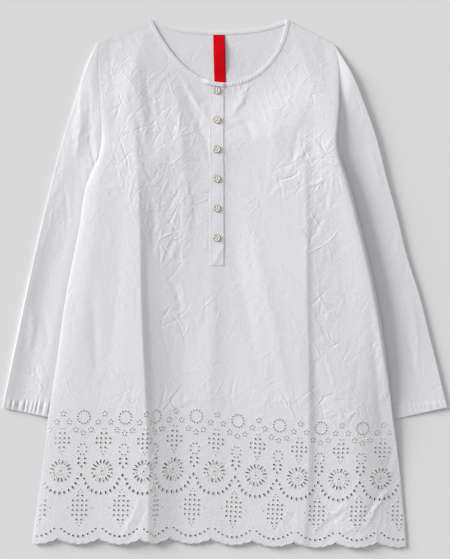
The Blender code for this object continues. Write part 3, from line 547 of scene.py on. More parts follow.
@dataclass
class Relief:
    """Heights laid over a rectangle of the garment, added up from creases and crinkles."""

    left: float
    right: float
    top: float
    bottom: float
    patches: Sequence[Patch] = ()
    seed: int = 0
    calm: float = 0.24  # strength of the crinkles between the patches
    cell: float = 1.0
    sharpness: float = 1.15  # below 2 a crease has a crisp line along its crest
    narrow: float = 0.62  # width of the fine creases as laid, against their table
    strength: float = 0.15  # of the fine creases
    broad_from: float = 5.0  # the width from which a crease is a broad one
    broad_strength: float = 0.30
    broad_narrow: float = 0.85
    broad_sharpness: float = 1.7
    bumps: float = 0.16  # of the finest creases where the cloth is calm
    least_bumps: float = 0.08  # of them in the smoothest places
    most_bumps: float = 1.14  # and in the most crumpled ones
    wander: float = 0.9  # how far the creases stray from smooth paths
    fade_reach: float = 2.6  # widths out to which a crease is laid
    taper: float = 0.7  # of a crease towards its ends, below 1 blunter
    heights: Array = field(init=False)
    amount: Array = field(init=False)
    strays: list[Array] = field(init=False)

    def __post_init__(self) -> None:
        """Starts flat, and works out where the cloth is crumpled and how its creases stray."""
        rows = int((self.bottom - self.top) / self.cell) + 2
        columns = int((self.right - self.left) / self.cell) + 2
        self.heights = np.zeros((rows, columns))
        x, down = self._places(slice(0, columns), slice(0, rows))
        self.amount = self.calm + 0.06 * self._noise(70, 90, self.seed + 8)
        for patch in self.patches:
            away = ((x - patch.x) / patch.reach_x) ** 2 + ((down - patch.down) / patch.reach_down) ** 2
            self.amount += patch.strength * np.exp(-away)
        self.strays = []
        for seed in (self.seed + 4, self.seed + 5):
            stray = self._noise(18, 18, seed) + 0.4 * self._noise(7, 7, seed + 2)
            self.strays.append(self.wander * stray)

    def _places(self, columns: slice, rows: slice) -> tuple[Array, Array]:
        """The x and down of a window of cells, as a row and a column."""
        x = self.left + self.cell * np.arange(columns.start, columns.stop)[None, :]
        return x, self.top + self.cell * np.arange(rows.start, rows.stop)[:, None]

    def lay(self, creases: Sequence[Crease], crinkled: float, seed: int) -> None:
        """Lays on creases, then facets and crinkles, each in two sizes.

        Args:
            creases: The creases.
            crinkled: Strength of the facets and crinkles.
            seed: Seed of their patterns.
        """
        for crease in creases:
            self.crease(crease)
        self.facets(28, 0.12 * crinkled, (4, -30, 52), seed + 10)
        self.facets(14, 0.045 * crinkled, (-10, 32, -62), seed + 20)
        for wave, height, own in (((20, 30), 0.05 * crinkled, seed), ((9, 12), 0.02 * crinkled, seed + 2)):
            self.heights += height * self.amount * (0.8 - np.abs(self._noise(*wave, own)))

    def crease(self, crease: Crease) -> None:
        """Adds one crease.

        Args:
            crease: Where it runs and how high it stands.
        """
        run_x, run_down = crease.to_x - crease.x, crease.to_down - crease.down
        length = math.hypot(run_x, run_down)
        reach = self.fade_reach * crease.width + abs(crease.bow)
        columns = self._window(crease.x, crease.to_x, reach, self.left, self.heights.shape[1])
        rows = self._window(crease.down, crease.to_down, reach, self.top, self.heights.shape[0])
        x, down = self._places(columns, rows)
        x, down = x - crease.x, down - crease.down
        along = np.clip((x * run_x + down * run_down) / length**2, 0, 1)
        across = (x * run_down - down * run_x) / length - crease.bow * 4 * along * (1 - along)
        narrow, sharpness, strength = (
            (self.broad_narrow, self.broad_sharpness, self.broad_strength)
            if crease.width >= self.broad_from
            else (self.narrow, self.sharpness, self.strength)
        )
        width = narrow * crease.width * (1 + crease.lean * np.sign(across))
        crest = np.exp(-((np.abs(across) / width) ** sharpness))
        taper = np.sin(math.pi * along) ** self.taper
        self.heights[rows, columns] += strength * crease.height * crest * taper

    def _window(self, start: float, end: float, reach: float, origin: float, most: int) -> slice:
        """The cells that a crease can reach along one axis."""
        low = int((min(start, end) - reach - origin) / self.cell)
        high = int((max(start, end) + reach - origin) / self.cell) + 1
        return slice(min(max(low, 0), most), min(max(high, 0), most))

    def facets(self, wave: float, height: float, turns: Sequence[float], seed: int) -> None:
        """Adds flat facets between crisp folds that run several ways and come and go.

        Args:
            wave: Usual distance from one fold to the next.
            height: Usual height.
            turns: Directions across the folds, degrees from x.
            seed: Seed of the pattern.
        """
        rows, columns = self.heights.shape
        x, down = self._places(slice(0, columns), slice(0, rows))
        for number, turn in enumerate(turns):
            angle, own = math.radians(turn), seed + 2 * number
            phase = (x * math.cos(angle) + down * math.sin(angle)) / wave
            phase += 0.5 * self._noise(3.5 * wave, 4.5 * wave, own)
            folded = 4 * np.abs(phase - np.round(phase)) - 1
            here = np.clip(self._noise(3 * wave, 3.6 * wave, own + 1) - 0.1, 0, 2)
            self.heights += height * self.amount * here * folded

    def _noise(self, wave_x: float, wave_down: float, seed: int) -> Array:
        """Soft noise in one band of wavelengths, with a spread of 1."""
        rows, columns = self.heights.shape
        rough = np.random.default_rng(seed).standard_normal((rows, columns))
        across = np.fft.fftfreq(columns, self.cell)[None, :] * wave_x
        along = np.fft.fftfreq(rows, self.cell)[:, None] * wave_down
        band = np.exp(-(((np.hypot(across, along) - 1) / 0.45) ** 2))
        soft = np.fft.ifft2(np.fft.fft2(rough) * band).real
        return soft / soft.std()

    def at(self, x: Array, down: Array) -> Array:
        """The heights that the relief adds at points of the garment."""
        stray_x, stray_down = (self._look(stray, x, down) for stray in self.strays)
        return self._look(self.heights, x + stray_x, down + stray_down)

    def crumpled(self, x: Array, down: Array) -> Array:
        """How crumpled the cloth is at points of the garment, from least_bumps up."""
        share = np.maximum(self._look(self.amount, x, down), 0.0) / self.calm
        return np.minimum(self.least_bumps + self.bumps * share**2.4, self.most_bumps)

    def _look(self, grid: Array, x: Array, down: Array) -> Array:
        """A grid's values between its cells."""
        column = np.clip((x - self.left) / self.cell, 0, grid.shape[1] - 1.001)
        row = np.clip((down - self.top) / self.cell, 0, grid.shape[0] - 1.001)
        c, r = column.astype(int), row.astype(int)
        s, t = column - c, row - r
        upper = blend(grid[r, c], grid[r, c + 1], s)
        lower = blend(grid[r + 1, c], grid[r + 1, c + 1], s)
        return blend(upper, lower, t)


# --- Meshes ---


def linked(name: str, data: bpy.types.ID) -> Piece:
    """A new object in the scene."""
    piece = bpy.data.objects.new(name, data)
    bpy.context.scene.collection.objects.link(piece)
    return piece


def new_mesh(name: str, points: Sequence, edges: Sequence = (), faces: Sequence = ()) -> Mesh:
    """A new mesh of points, edges and faces."""
    mesh = bpy.data.meshes.new(name)
    mesh.from_pydata(points, edges, faces)
    return mesh


def baked_mesh(piece: Piece) -> Mesh:
    """The plain mesh that a piece's modifiers make."""
    bpy.context.view_layer.update()
    return bpy.data.meshes.new_from_object(piece.evaluated_get(bpy.context.evaluated_depsgraph_get()))


def map_points(mesh: Mesh, name: str, flat: Array) -> None:
    """Gives a mesh a UV map.

    Args:
        mesh: The mesh.
        name: Name of the map.
        flat: Where each of the mesh's points lies on the map.
    """
    corner = np.empty(len(mesh.loops), dtype=np.int32)
    mesh.loops.foreach_get("vertex_index", corner)
    mesh.uv_layers.new(name=name).data.foreach_set("uv", flat[corner].ravel())


def smoothed(mesh: Mesh, crisp_from: float) -> Mesh:
    """The mesh shaded smooth, but for edges that turn by more than an angle in degrees."""
    mesh.shade_smooth()
    mesh.set_sharp_from_angle(angle=math.radians(crisp_from))
    return mesh


def cloth_object(
    name: str, points: Array, faces: Array, flat: Array, material: Material, crumpled: Array | float = 1.0
) -> Piece:
    """Makes a smooth mesh piece with a UV map of its flat coordinates.

    Args:
        name: Name of the piece.
        points: Its points in metres.
        faces: Point numbers of each face.
        flat: Flat coordinates of the points, millimetres.
        material: Its finish.
        crumpled: How crumpled it is at each point, or all over.

    Returns:
        The piece.
    """
    mesh = smoothed(new_mesh(name, points.tolist(), [], faces.tolist()), 62)
    map_points(mesh, CLOTH_MAP, flat * MM)
    amount = mesh.attributes.new(CRUMPLE_MAP, "FLOAT", "POINT")
    amount.data.foreach_set("value", np.ones(len(points)) * crumpled)
    mesh.materials.append(material)
    return linked(name, mesh)


def grid_faces(rows: int, columns: int, around: bool = False) -> Array:
    """Quads of a grid of points numbered row by row.

    Args:
        rows: Number of rows of points.
        columns: Points in a row.
        around: Whether each row closes into a loop.

    Returns:
        Four point numbers for each quad.
    """
    row, column = np.meshgrid(np.arange(rows - 1), np.arange(columns - (not around)), indexing="ij")
    after = (column + 1) % columns
    quads = (row * columns + column, (row + 1) * columns + column)
    quads += ((row + 1) * columns + after, row * columns + after)
    return np.stack(quads, axis=-1).reshape(-1, 4)


def lines_object(name: str, lines: Sequence[Array], closed: bool) -> Piece:
    """Makes a mesh of bare edges, for threads to follow.

    Args:
        name: Name of the object.
        lines: Points in metres of each line.
        closed: Whether each line closes into a loop.

    Returns:
        The object.
    """
    points, edges = [], []
    for line in lines:
        start, count = len(points), len(line)
        points += line.tolist()
        edges += [(start + i, start + i + 1) for i in range(count - 1)]
        if closed:
            edges.append((start + count - 1, start))
    return linked(name, new_mesh(name, points, edges))


@dataclass
class CutPanel:
    """A panel as it is cut: its outline and holes, filled with small triangles."""

    outline: Array
    holes: list[Array]
    spacing: float
    inside: Inside
    edge_clear: float = 0.45  # of the spacing, between the outline and the inner points
    hole_clear: float = 0.38  # of the spacing, between a hole and the inner points

    def fill(self) -> tuple[Array, Array, list[Array]]:
        """Triangulates the panel.

        Returns:
            Its points, its triangles, and the point numbers round each hole.
        """
        loops = [self.outline, *self.holes]
        points = np.concatenate([*loops, self._inner_points()])
        starts = np.cumsum([0] + [len(loop) for loop in loops])
        rings = [np.arange(a, b) for a, b in zip(starts, starts[1:])]
        edges = np.concatenate([np.stack([ring, np.roll(ring, -1)], axis=1) for ring in rings])
        made = delaunay_2d_cdt([Vector(p) for p in points], edges.tolist(), [], 0, 1e-6, True)
        triangles = np.array(made[2])
        flat = np.array([tuple(p) for p in made[0]])
        where = np.empty(len(points), dtype=int)
        for new, olds in enumerate(made[3]):
            where[olds] = new
        loop_of = np.full(len(flat), -1)
        for number, ring in enumerate(rings):
            loop_of[where[ring]] = number
        of = loop_of[triangles]
        one_loop = (of[:, 0] == of[:, 1]) & (of[:, 1] == of[:, 2])
        in_hole = one_loop & (of[:, 0] > 0)
        on_outline = np.flatnonzero(one_loop & (of[:, 0] == 0))
        outside = on_outline[~self._within(flat[triangles[on_outline]].mean(axis=1))]
        kept = ~in_hole
        kept[outside] = False
        return flat, triangles[kept], [where[ring] for ring in rings[1:]]

    def _within(self, points: Array) -> Array:
        """Which points lie inside the outline."""
        start = self.outline
        end = np.roll(start, -1, axis=0)
        crossing = (start[:, 1] > points[:, 1:]) != (end[:, 1] > points[:, 1:])
        rise = np.where(start[:, 1] == end[:, 1], 1.0, end[:, 1] - start[:, 1])
        at = start[:, 0] + (points[:, 1:] - start[:, 1]) * (end[:, 0] - start[:, 0]) / rise
        return (crossing & (points[:, :1] < at)).sum(axis=1) % 2 == 1

    def _inner_points(self) -> Array:
        """A staggered grid of points, clear of the outline and the holes."""
        low, high = self.outline.min(axis=0), self.outline.max(axis=0)
        across = np.arange(low[0], high[0], self.spacing)
        along = np.arange(low[1], high[1], self.spacing * math.sqrt(3) / 2)
        x, y = np.meshgrid(across, along)
        x[1::2] += self.spacing / 2
        points = np.stack([x.ravel(), y.ravel()], axis=1)
        points = points[self.inside(points, self.spacing * self.edge_clear)]
        tree = KDTree(len(points))
        for number, (across, along) in enumerate(points):
            tree.insert((across, along, 0), number)
        tree.balance()
        keep = np.ones(len(points), dtype=bool)
        for hole in self.holes:
            centre = hole.mean(axis=0)
            reach = float(np.linalg.norm(hole - centre, axis=1).max()) + self.spacing * 0.4
            near = [number for _, number, _ in tree.find_range((*centre, 0), reach)]
            if near:
                keep[near] = ~self._too_near(points[near], hole)
        return points[keep]

    def _too_near(self, points: Array, hole: Array) -> Array:
        """Which points lie inside a hole, or close to its edge."""
        run = np.roll(hole, -1, axis=0) - hole
        run /= np.linalg.norm(run, axis=1)[:, None]
        offset = points[:, None] - hole[None]
        gap = offset[:, :, 0] * run[:, 1] - offset[:, :, 1] * run[:, 0]
        middle = hole.mean(axis=0) - hole
        gap *= np.sign(run[:, 1] * middle[:, 0] - run[:, 0] * middle[:, 1])
        return gap.min(axis=1) > -self.spacing * self.hole_clear


# --- Shader nodes and finishes ---


class Nodes:
    """Adds and joins nodes in one tree."""

    def __init__(self, tree: Tree) -> None:
        """Keeps the tree."""
        self.tree = tree

    def add(self, kind: str, inputs: dict | None = None, **settings: object) -> Node:
        """Adds a node.

        Args:
            kind: Blender's name of the node's type.
            inputs: Values or sockets for its inputs, by name or number.
            settings: Its other settings.

        Returns:
            The node.
        """
        node = self.tree.nodes.new(kind)
        for name, value in settings.items():
            setattr(node, name, value)
        self.feed(node, inputs or {})
        return node

    def feed(self, node: Node, inputs: dict) -> None:
        """Sets a node's inputs or links them.

        Args:
            node: The node.
            inputs: Values or sockets, by the name or number of the input.
        """
        for key, value in inputs.items():
            if isinstance(value, Socket):
                self.tree.links.new(value, node.inputs[key])
            else:
                node.inputs[key].default_value = value

    def math(self, operation: str, first: Socket | float, second: Socket | float = 0.0) -> Socket:
        """The output of a Math node."""
        return self.add("ShaderNodeMath", {0: first, 1: second}, operation=operation).outputs[0]

    def vector(self, operation: str, *values: Socket | Sequence[float]) -> Socket:
        """The output of a Vector Math node, a number for a length or a distance."""
        made = self.add("ShaderNodeVectorMath", dict(enumerate(values)), operation=operation)
        return made.outputs["Value" if operation in ("LENGTH", "DISTANCE") else "Vector"]

    def noise(self, where: Socket, scale: float, **more: float) -> Socket:
        """The value of a Noise Texture."""
        return self.add("ShaderNodeTexNoise", {"Vector": where, "Scale": scale, **more}).outputs[0]

    def ranged(self, value: Socket, low: float, high: float, start: float = 0.0, end: float = 1.0) -> Socket:
        """A value from low to high taken to one from start to end, and held there beyond them."""
        return self.add("ShaderNodeMapRange", {"Value": value, 1: low, 2: high, 3: start, 4: end}).outputs[0]

    def mixed(self, share: Socket, first: Socket | Colour, second: Socket | Colour) -> Socket:
        """A colour a share of the way from the first to the second."""
        first, second = (c if isinstance(c, Socket) else (*c, 1) for c in (first, second))
        return self.add("ShaderNodeMix", {0: share, 6: first, 7: second}, data_type="RGBA").outputs[2]

    def bump(self, height: Socket, depth: float, **more: Socket) -> Socket:
        """Normals that follow a height."""
        return self.add("ShaderNodeBump", {"Height": height, "Distance": depth, **more}).outputs[0]


def shader_group(name: str, given: dict[str, float], made: Sequence[str]) -> tuple[Nodes, Sequence, Node]:
    """Starts a shader node group with float sockets.

    Args:
        name: Name of the group.
        given: Its inputs and their usual values.
        made: Its outputs.

    Returns:
        Its nodes, the sockets that bring its inputs, and its output node.
    """
    group = bpy.data.node_groups.new(name, "ShaderNodeTree")
    for socket, value in given.items():
        new = group.interface.new_socket(socket, in_out="INPUT", socket_type="NodeSocketFloat")
        new.default_value = value
    for socket in made:
        group.interface.new_socket(socket, in_out="OUTPUT", socket_type="NodeSocketFloat")
    nodes = Nodes(group)
    return nodes, nodes.add("NodeGroupInput").outputs, nodes.add("NodeGroupOutput")


class CottonGroups:
    """The node groups that the cloth finishes share."""

    def __init__(self) -> None:
        """Builds each group once."""
        self.weave = self._weave()
        self.crumple = self._crumple()

    def _weave(self) -> Tree:
        """Plain weave on the cloth's own map: threads that pass over and under by turns."""
        nodes, given, out = shader_group("plain_weave", {"Threads": 1800.0}, ["Height"])
        flat = nodes.add("ShaderNodeUVMap", uv_map=CLOTH_MAP).outputs[0]
        size = {0: flat, "Scale": given["Threads"]}
        scaled = nodes.add("ShaderNodeVectorMath", size, operation="SCALE").outputs[0]
        parts = nodes.add("ShaderNodeSeparateXYZ", {0: scaled})
        warp, weft = (
            nodes.math("ABSOLUTE", nodes.math("SINE", nodes.math("MULTIPLY", axis, math.pi)))
            for axis in parts.outputs[:2]
        )
        over = nodes.add("ShaderNodeTexChecker", {"Vector": scaled, "Scale": 1.0}).outputs["Fac"]
        woven = nodes.add("ShaderNodeMix", {0: over, 2: warp, 3: weft}, data_type="FLOAT").outputs[0]
        nodes.feed(out, {"Height": woven})
        return nodes.tree

    def _crumple(self) -> Tree:
        """Fine crumpled creases: straight pressed lines that meet, over faint folded waves."""
        nodes, given, out = shader_group("crumple", {"Scale": 28.0}, ["Height", "Tone"])
        scale, where = given["Scale"], nodes.add("ShaderNodeTexCoord").outputs["Object"]
        turned = self._turned(nodes, where, 0.15)
        wave = {"Vector": turned, "Scale": nodes.math("MULTIPLY", scale, 1.2), "Distortion": 6.0}
        wave |= {"Detail": 2.0, "Detail Scale": 0.6}
        folds = nodes.add("ShaderNodeTexWave", wave, wave_profile="TRI").outputs["Fac"]
        here = nodes.ranged(nodes.noise(turned, 31.2), 0.46, 0.66, 0.0, 0.4)
        height = nodes.math("MULTIPLY", folds, here)
        bends = nodes.add("ShaderNodeTexNoise", {"Vector": where, "Scale": 22.0, "Detail": 1.0})
        bent = nodes.vector("MULTIPLY_ADD", bends.outputs["Color"], (0.02, 0.02, 0.0), where)
        for turn, finer, share in ((0.2, 0.7, 1.1), (-0.4, 1.05, 1.4), (0.75, 1.3, 1.4), (-1.1, 1.9, 1.2)):
            turned = self._turned(nodes, bent, turn)
            drawn_out = nodes.vector("MULTIPLY", turned, (1.0, 0.28, 0.0))
            cells = nodes.add(
                "ShaderNodeTexVoronoi",
                {"Vector": drawn_out, "Scale": nodes.math("MULTIPLY", scale, finer)},
                feature="DISTANCE_TO_EDGE",
                voronoi_dimensions="2D",
            )
            crest = nodes.ranged(cells.outputs[0], 0.0, 0.085, 1.0, 0.0)
            here = nodes.ranged(nodes.noise(turned, 17.0 * finer), 0.32, 0.68, -share, share)
            height = nodes.math("ADD", height, nodes.math("MULTIPLY", crest, here))
        amount = nodes.add("ShaderNodeAttribute", attribute_name=CRUMPLE_MAP).outputs["Fac"]
        tone = nodes.noise(where, 9.0, Detail=2.0)
        nodes.feed(out, {"Height": nodes.math("MULTIPLY", height, amount), "Tone": tone})
        return nodes.tree

    @staticmethod
    def _turned(nodes: Nodes, where: Socket, turn: float) -> Socket:
        """The place turned about the vertical."""
        inputs = {"Vector": where, "Angle": turn}
        return nodes.add("ShaderNodeVectorRotate", inputs, rotation_type="Z_AXIS").outputs[0]


class Finish:
    """A finish, which makes a material under its own name."""

    name: str

    def surface(self, nodes: Nodes) -> dict[str, object]:
        """Values and sockets for the inputs of the material's shader."""
        raise NotImplementedError

    def material(self) -> Material:
        """Builds the finish.

        Returns:
            The material.
        """
        material = bpy.data.materials.new(self.name)
        material.use_nodes = True
        nodes = Nodes(material.node_tree)
        nodes.feed(material.node_tree.nodes["Principled BSDF"], self.surface(nodes))
        return material


@dataclass(frozen=True)
class CottonFinish(Finish):
    """Crinkled plain-weave cotton."""

    name: str
    groups: CottonGroups
    colour: Colour = (0.843, 0.841, 0.866)
    shade: Colour = (0.803, 0.799, 0.830)
    threads: float = 1800.0  # per metre
    weave_depth: float = 0.05 * MM
    crumple_depth: float = 0.26 * MM
    crumple_scale: float = 36.0

    def surface(self, nodes: Nodes) -> dict[str, object]:
        """Plain weave over fine creases, a little darker in patches."""
        crumple = nodes.add("ShaderNodeGroup", node_tree=self.groups.crumple)
        nodes.feed(crumple, {"Scale": self.crumple_scale})
        weave = nodes.add("ShaderNodeGroup", node_tree=self.groups.weave)
        nodes.feed(weave, {"Threads": self.threads})
        creased = nodes.bump(crumple.outputs["Height"], self.crumple_depth)
        return {
            "Base Color": nodes.mixed(crumple.outputs["Tone"], self.colour, self.shade),
            "Normal": nodes.bump(weave.outputs["Height"], self.weave_depth, Normal=creased),
            "Roughness": 0.88,
            "Sheen Weight": 0.12,
            "Specular IOR Level": 0.25,
        }


@dataclass(frozen=True)
class ThreadFinish(Finish):
    """Soft twisted cotton thread."""

    name: str
    colour: Colour = (0.84, 0.835, 0.84)
    twist: float = 1500.0
    depth: float = 0.08 * MM

    def surface(self, nodes: Nodes) -> dict[str, object]:
        """Fine uneven fibres, with painted shade in the hollows between them."""
        noise = nodes.noise(nodes.add("ShaderNodeTexCoord").outputs["Object"], self.twist, Detail=2.0)
        # painted shade: the noise that sinks the bump also darkens the colour, so the hollows read as shaded
        darker = tuple(0.93 * c for c in self.colour)
        return {
            "Base Color": nodes.mixed(noise, darker, self.colour),
            "Normal": nodes.bump(noise, self.depth),
            "Roughness": 0.7,
            "Sheen Weight": 0.2,
        }


@dataclass(frozen=True)
class PearlFinish(Finish):
    """Button pearl, cream in the middle with a tan rim, on a map whose edge is 1 from its middle."""

    name: str = "button_pearl"
    middle: Colour = (0.96, 0.94, 0.91)
    rim: Colour = (0.44, 0.25, 0.11)
    rim_start: float = 0.72  # share of the radius
    rim_full: float = 0.92
    # painted shade: a dark colour laid in each hole and in a thin ring round it, standing in for the shade
    # there
    drilled: Colour = (0.10, 0.07, 0.05)  # inside the holes
    hole_at: float = 0.322  # of a hole's middle, each way
    hole_wall: float = 0.168  # from a hole's middle, fully dark up to here
    hole_clear: float = 0.19  # and clear from here on

    def surface(self, nodes: Nodes) -> dict[str, object]:
        """Streaks that stray over the edge of the rim, and painted shade on the walls of the holes and just
        round them.
        """
        disc = nodes.add("ShaderNodeUVMap", uv_map="disc").outputs[0]
        streaks = nodes.noise(disc, 1.6, Detail=4.0, Distortion=1.4)
        wander = nodes.math("MULTIPLY", nodes.math("SUBTRACT", streaks, 0.5), 0.5)
        reach = nodes.math("ADD", nodes.vector("LENGTH", disc), wander)
        tone = nodes.mixed(nodes.ranged(reach, self.rim_start, self.rim_full), self.middle, self.rim)
        quarter = nodes.vector("ABSOLUTE", disc)
        gap = nodes.vector("DISTANCE", quarter, (self.hole_at, self.hole_at, 0.0))
        # walls: share of the painted hole shade at each point, full in the hole and fading just outside it
        walls = nodes.ranged(gap, self.hole_wall, self.hole_clear, 1.0, 0.0)
        return {
            "Base Color": nodes.mixed(walls, tone, self.drilled),
            "Normal": nodes.bump(streaks, 0.05 * MM),
            "Roughness": 0.28,
            "Coat Weight": 0.4,
        }


@dataclass(frozen=True)
class RibbonFinish(Finish):
    """Woven red satin ribbon, left bare."""

    name: str = "red_ribbon"
    colour: Colour = (0.78, 0.002, 0.008)
    edge: Colour = (0.60, 0.002, 0.006)
    ribs: float = 2600.0
    half_width: float = 8.9 * MM

    def surface(self, nodes: Nodes) -> dict[str, object]:
        """Fine ribs across the ribbon, and a darker selvedge."""
        flat = nodes.add("ShaderNodeUVMap", uv_map=CLOTH_MAP).outputs[0]
        parts = nodes.add("ShaderNodeSeparateXYZ", {0: flat}).outputs
        rib = nodes.math("SINE", nodes.math("MULTIPLY", parts[1], self.ribs * math.tau))
        from_middle = nodes.math("ABSOLUTE", parts[0])
        selvedge = nodes.ranged(from_middle, self.half_width * 0.86, self.half_width * 0.95)
        worn = nodes.ranged(nodes.noise(flat, 160.0), 0.0, 1.0, 0.0, 0.35)
        return {
            "Base Color": nodes.mixed(nodes.math("MAXIMUM", selvedge, worn), self.colour, self.edge),
            "Normal": nodes.bump(rib, 0.06 * MM),
            "Roughness": 0.55,
            "Specular IOR Level": 0.02,
        }


@dataclass(frozen=True)
class FloorFinish(Finish):
    """Pale matt paper."""

    name: str = "floor_paper"
    tone: float = 0.835

    def surface(self, nodes: Nodes) -> dict[str, object]:
        """An almost even tone."""
        noise = nodes.noise(nodes.add("ShaderNodeTexCoord").outputs["Object"], 2.0)
        pale, paler = ((tone,) * 3 for tone in (self.tone, self.tone * 1.01))
        return {"Base Color": nodes.mixed(noise, pale, paler), "Roughness": 0.95, "Specular IOR Level": 0.1}


# --- Geometry Nodes: threads and stitches ---


class ThreadTree:
    """Geometry Nodes tree that rolls a thread along every line of a mesh of edges."""

    name = "thread_along_lines"
    kinds = {"Lines": "Geometry", "Thickness": "Float", "Sides": "Int", "Finish": "Material"}

    def __init__(self) -> None:
        """Builds the tree."""
        self.tree = bpy.data.node_groups.new(self.name, "GeometryNodeTree")
        self.nodes = Nodes(self.tree)
        self.sockets = {name: self._socket(name, kind, "INPUT") for name, kind in self.kinds.items()}
        self._socket("Thread", "Geometry", "OUTPUT")
        self.given = self.nodes.add("NodeGroupInput")
        lines = self.nodes.add("GeometryNodeMeshToCurve", {"Mesh": self.given.outputs["Lines"]})
        self._finish(self._shape(lines.outputs[0]))

    def _socket(self, name: str, kind: str, way: str) -> str:
        """Adds a named input or output, and returns its identifier."""
        return self.tree.interface.new_socket(name, in_out=way, socket_type=f"NodeSocket{kind}").identifier

    def _shape(self, lines: Socket) -> Socket:
        """A plain thread follows the lines as they are."""
        return lines

    def _finish(self, lines: Socket) -> None:
        """Rolls the thread along the lines and gives it its finish."""
        add, given = self.nodes.add, self.given.outputs
        radius = self.nodes.math("MULTIPLY", given["Thickness"], 0.5)
        circle = {"Resolution": given["Sides"], "Radius": radius}
        section = add("GeometryNodeCurvePrimitiveCircle", circle).outputs["Curve"]
        roll = {"Curve": lines, "Profile Curve": section, "Fill Caps": True}
        rolled = add("GeometryNodeCurveToMesh", roll).outputs[0]
        smooth = add("GeometryNodeSetShadeSmooth", {"Geometry": rolled}).outputs[0]
        real = add("GeometryNodeRealizeInstances", {"Geometry": smooth}).outputs[0]
        dressed = add("GeometryNodeSetMaterial", {"Geometry": real, "Material": given["Finish"]})
        add("NodeGroupOutput", {0: dressed.outputs[0]})

    def grow(self, lines: Piece, **values: float | Material) -> Piece:
        """Turns a mesh of lines into plain thread mesh.

        Args:
            lines: The mesh of edges, which becomes the piece.
            values: Values of the tree's inputs.

        Returns:
            The piece, with no modifier left.
        """
        modifier = lines.modifiers.new("thread", "NODES")
        modifier.node_group = self.tree
        for name, value in values.items():
            modifier[self.sockets[name.capitalize()]] = value
        made = baked_mesh(lines)
        lines.modifiers.clear()
        lines.data = made
        return lines


class StitchTree(ThreadTree):
    """Geometry Nodes tree that sets separate stitches along a path, running with it or across it."""

    name = "stitches_along_path"
    kinds = ThreadTree.kinds | {"Spacing": "Float", "Reach": "Float", "Turn": "Float"}

    def _shape(self, lines: Socket) -> Socket:
        """Sets a low arch on every mark of the path."""
        add, given, times = self.nodes.add, self.given.outputs, self.nodes.math
        marks = add("GeometryNodeResampleCurve", {"Curve": lines, "Length": given["Spacing"]}, mode="LENGTH")
        crown, sunk = (times("MULTIPLY", given["Thickness"], share) for share in (0.9, -0.6))
        arch = {"Resolution": 4, "Middle": add("ShaderNodeCombineXYZ", {2: crown}).outputs[0]}
        for end, share in (("Start", -0.5), ("End", 0.5)):
            x = times("MULTIPLY", given["Reach"], share)
            arch[end] = add("ShaderNodeCombineXYZ", {0: x, 2: sunk}).outputs[0]
        stitch = add("GeometryNodeCurveQuadraticBezier", arch).outputs[0]
        tangent = {"Vector": add("GeometryNodeInputTangent").outputs[0]}
        facing = add("FunctionNodeAlignRotationToVector", tangent, axis="X", pivot_axis="Z").outputs[0]
        wobble = add("FunctionNodeRandomValue", {2: -0.12, 3: 0.12, "Seed": 11}, data_type="FLOAT")
        turn = add("ShaderNodeCombineXYZ", {2: times("ADD", given["Turn"], wobble.outputs[1])}).outputs[0]
        placed = {"Points": marks.outputs[0], "Instance": stitch, "Rotation": facing}
        placed = add("GeometryNodeInstanceOnPoints", placed).outputs[0]
        turned = add("GeometryNodeRotateInstances", {"Instances": placed, "Rotation": turn}).outputs[0]
        return add("GeometryNodeRealizeInstances", {"Geometry": turned}).outputs[0]


class Topstitch(NamedTuple):
    """A row of stitches that run along a seam."""

    spacing: float
    reach: float  # of each stitch
    thread: float  # its thickness


CUFF_STITCH = Topstitch(2.8, 2.1, 0.45)
NECK_STITCH = Topstitch(2.6, 1.9, 0.4)
PLACKET_STITCH = Topstitch(2.7, 2.0, 0.4)


@dataclass
class Kit:
    """The finishes that the pieces are made in, and the trees that grow their threads."""

    cotton: Material
    binding: Material
    thread: Material
    edging: Material  # thread of the embroidery
    satin: Material
    pearl: Material
    threads: ThreadTree = field(default_factory=ThreadTree)
    stitches: StitchTree = field(default_factory=StitchTree)

    def sew(
        self,
        name: str,
        lines: Sequence[Array],
        thickness: float,
        sides: int = 4,
        closed: bool = False,
        finish: Material | None = None,
        **stitch: float,
    ) -> Piece:
        """Rolls thread along lines, or sets stitches along them.

        Args:
            name: Name of the piece.
            lines: Points in metres of each line.
            thickness: Thickness of the thread.
            sides: Its flat sides.
            closed: Whether each line closes into a loop.
            finish: Its finish, or None for the plain thread.
            stitch: Spacing, reach and turn of stitches, in metres and radians.

        Returns:
            The piece.
        """
        tree, path = self.stitches if stitch else self.threads, lines_object(name, lines, closed)
        stitch.update(thickness=thickness * MM, sides=sides, finish=finish or self.thread)
        return tree.grow(path, **stitch)

    def topstitch(self, name: str, lines: Sequence[Array], stitch: Topstitch) -> Piece:
        """Sets running stitches along lines."""
        size = {"spacing": stitch.spacing * MM, "reach": stitch.reach * MM, "turn": 0.0}
        return self.sew(name, lines, stitch.thread, **size)


def dress(cloth: Piece, node: str, trims: Sequence[Piece] = ()) -> None:
    """Hides the node that a piece stands for, and sets it and its trims to ride on the root body.

    Args:
        cloth: The piece.
        node: The node it replaces.
        trims: The pieces sewn to it.
    """
    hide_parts(node)
    for piece in (cloth, *trims):
        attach(piece, "root")


def lay(
    cloth: Piece,
    node: str,
    slot: str,
    size: tuple[float, float],
    rests_on: Sequence[str],
    trims: Sequence[Piece] = (),
    **more: float,
) -> None:
    """Hides the node that a piece of cloth stands for, and sets it and its trims on the root body.

    Args:
        cloth: The piece.
        node: The node it replaces.
        slot: Material slot of its finish; not used.
        size: Its flat width and length; not used.
        rests_on: What it lies on; not used.
        trims: The pieces sewn to it.
        more: Its area, where its outline isn't a rectangle; not used.
    """
    dress(cloth, node, trims)


# --- The body ---


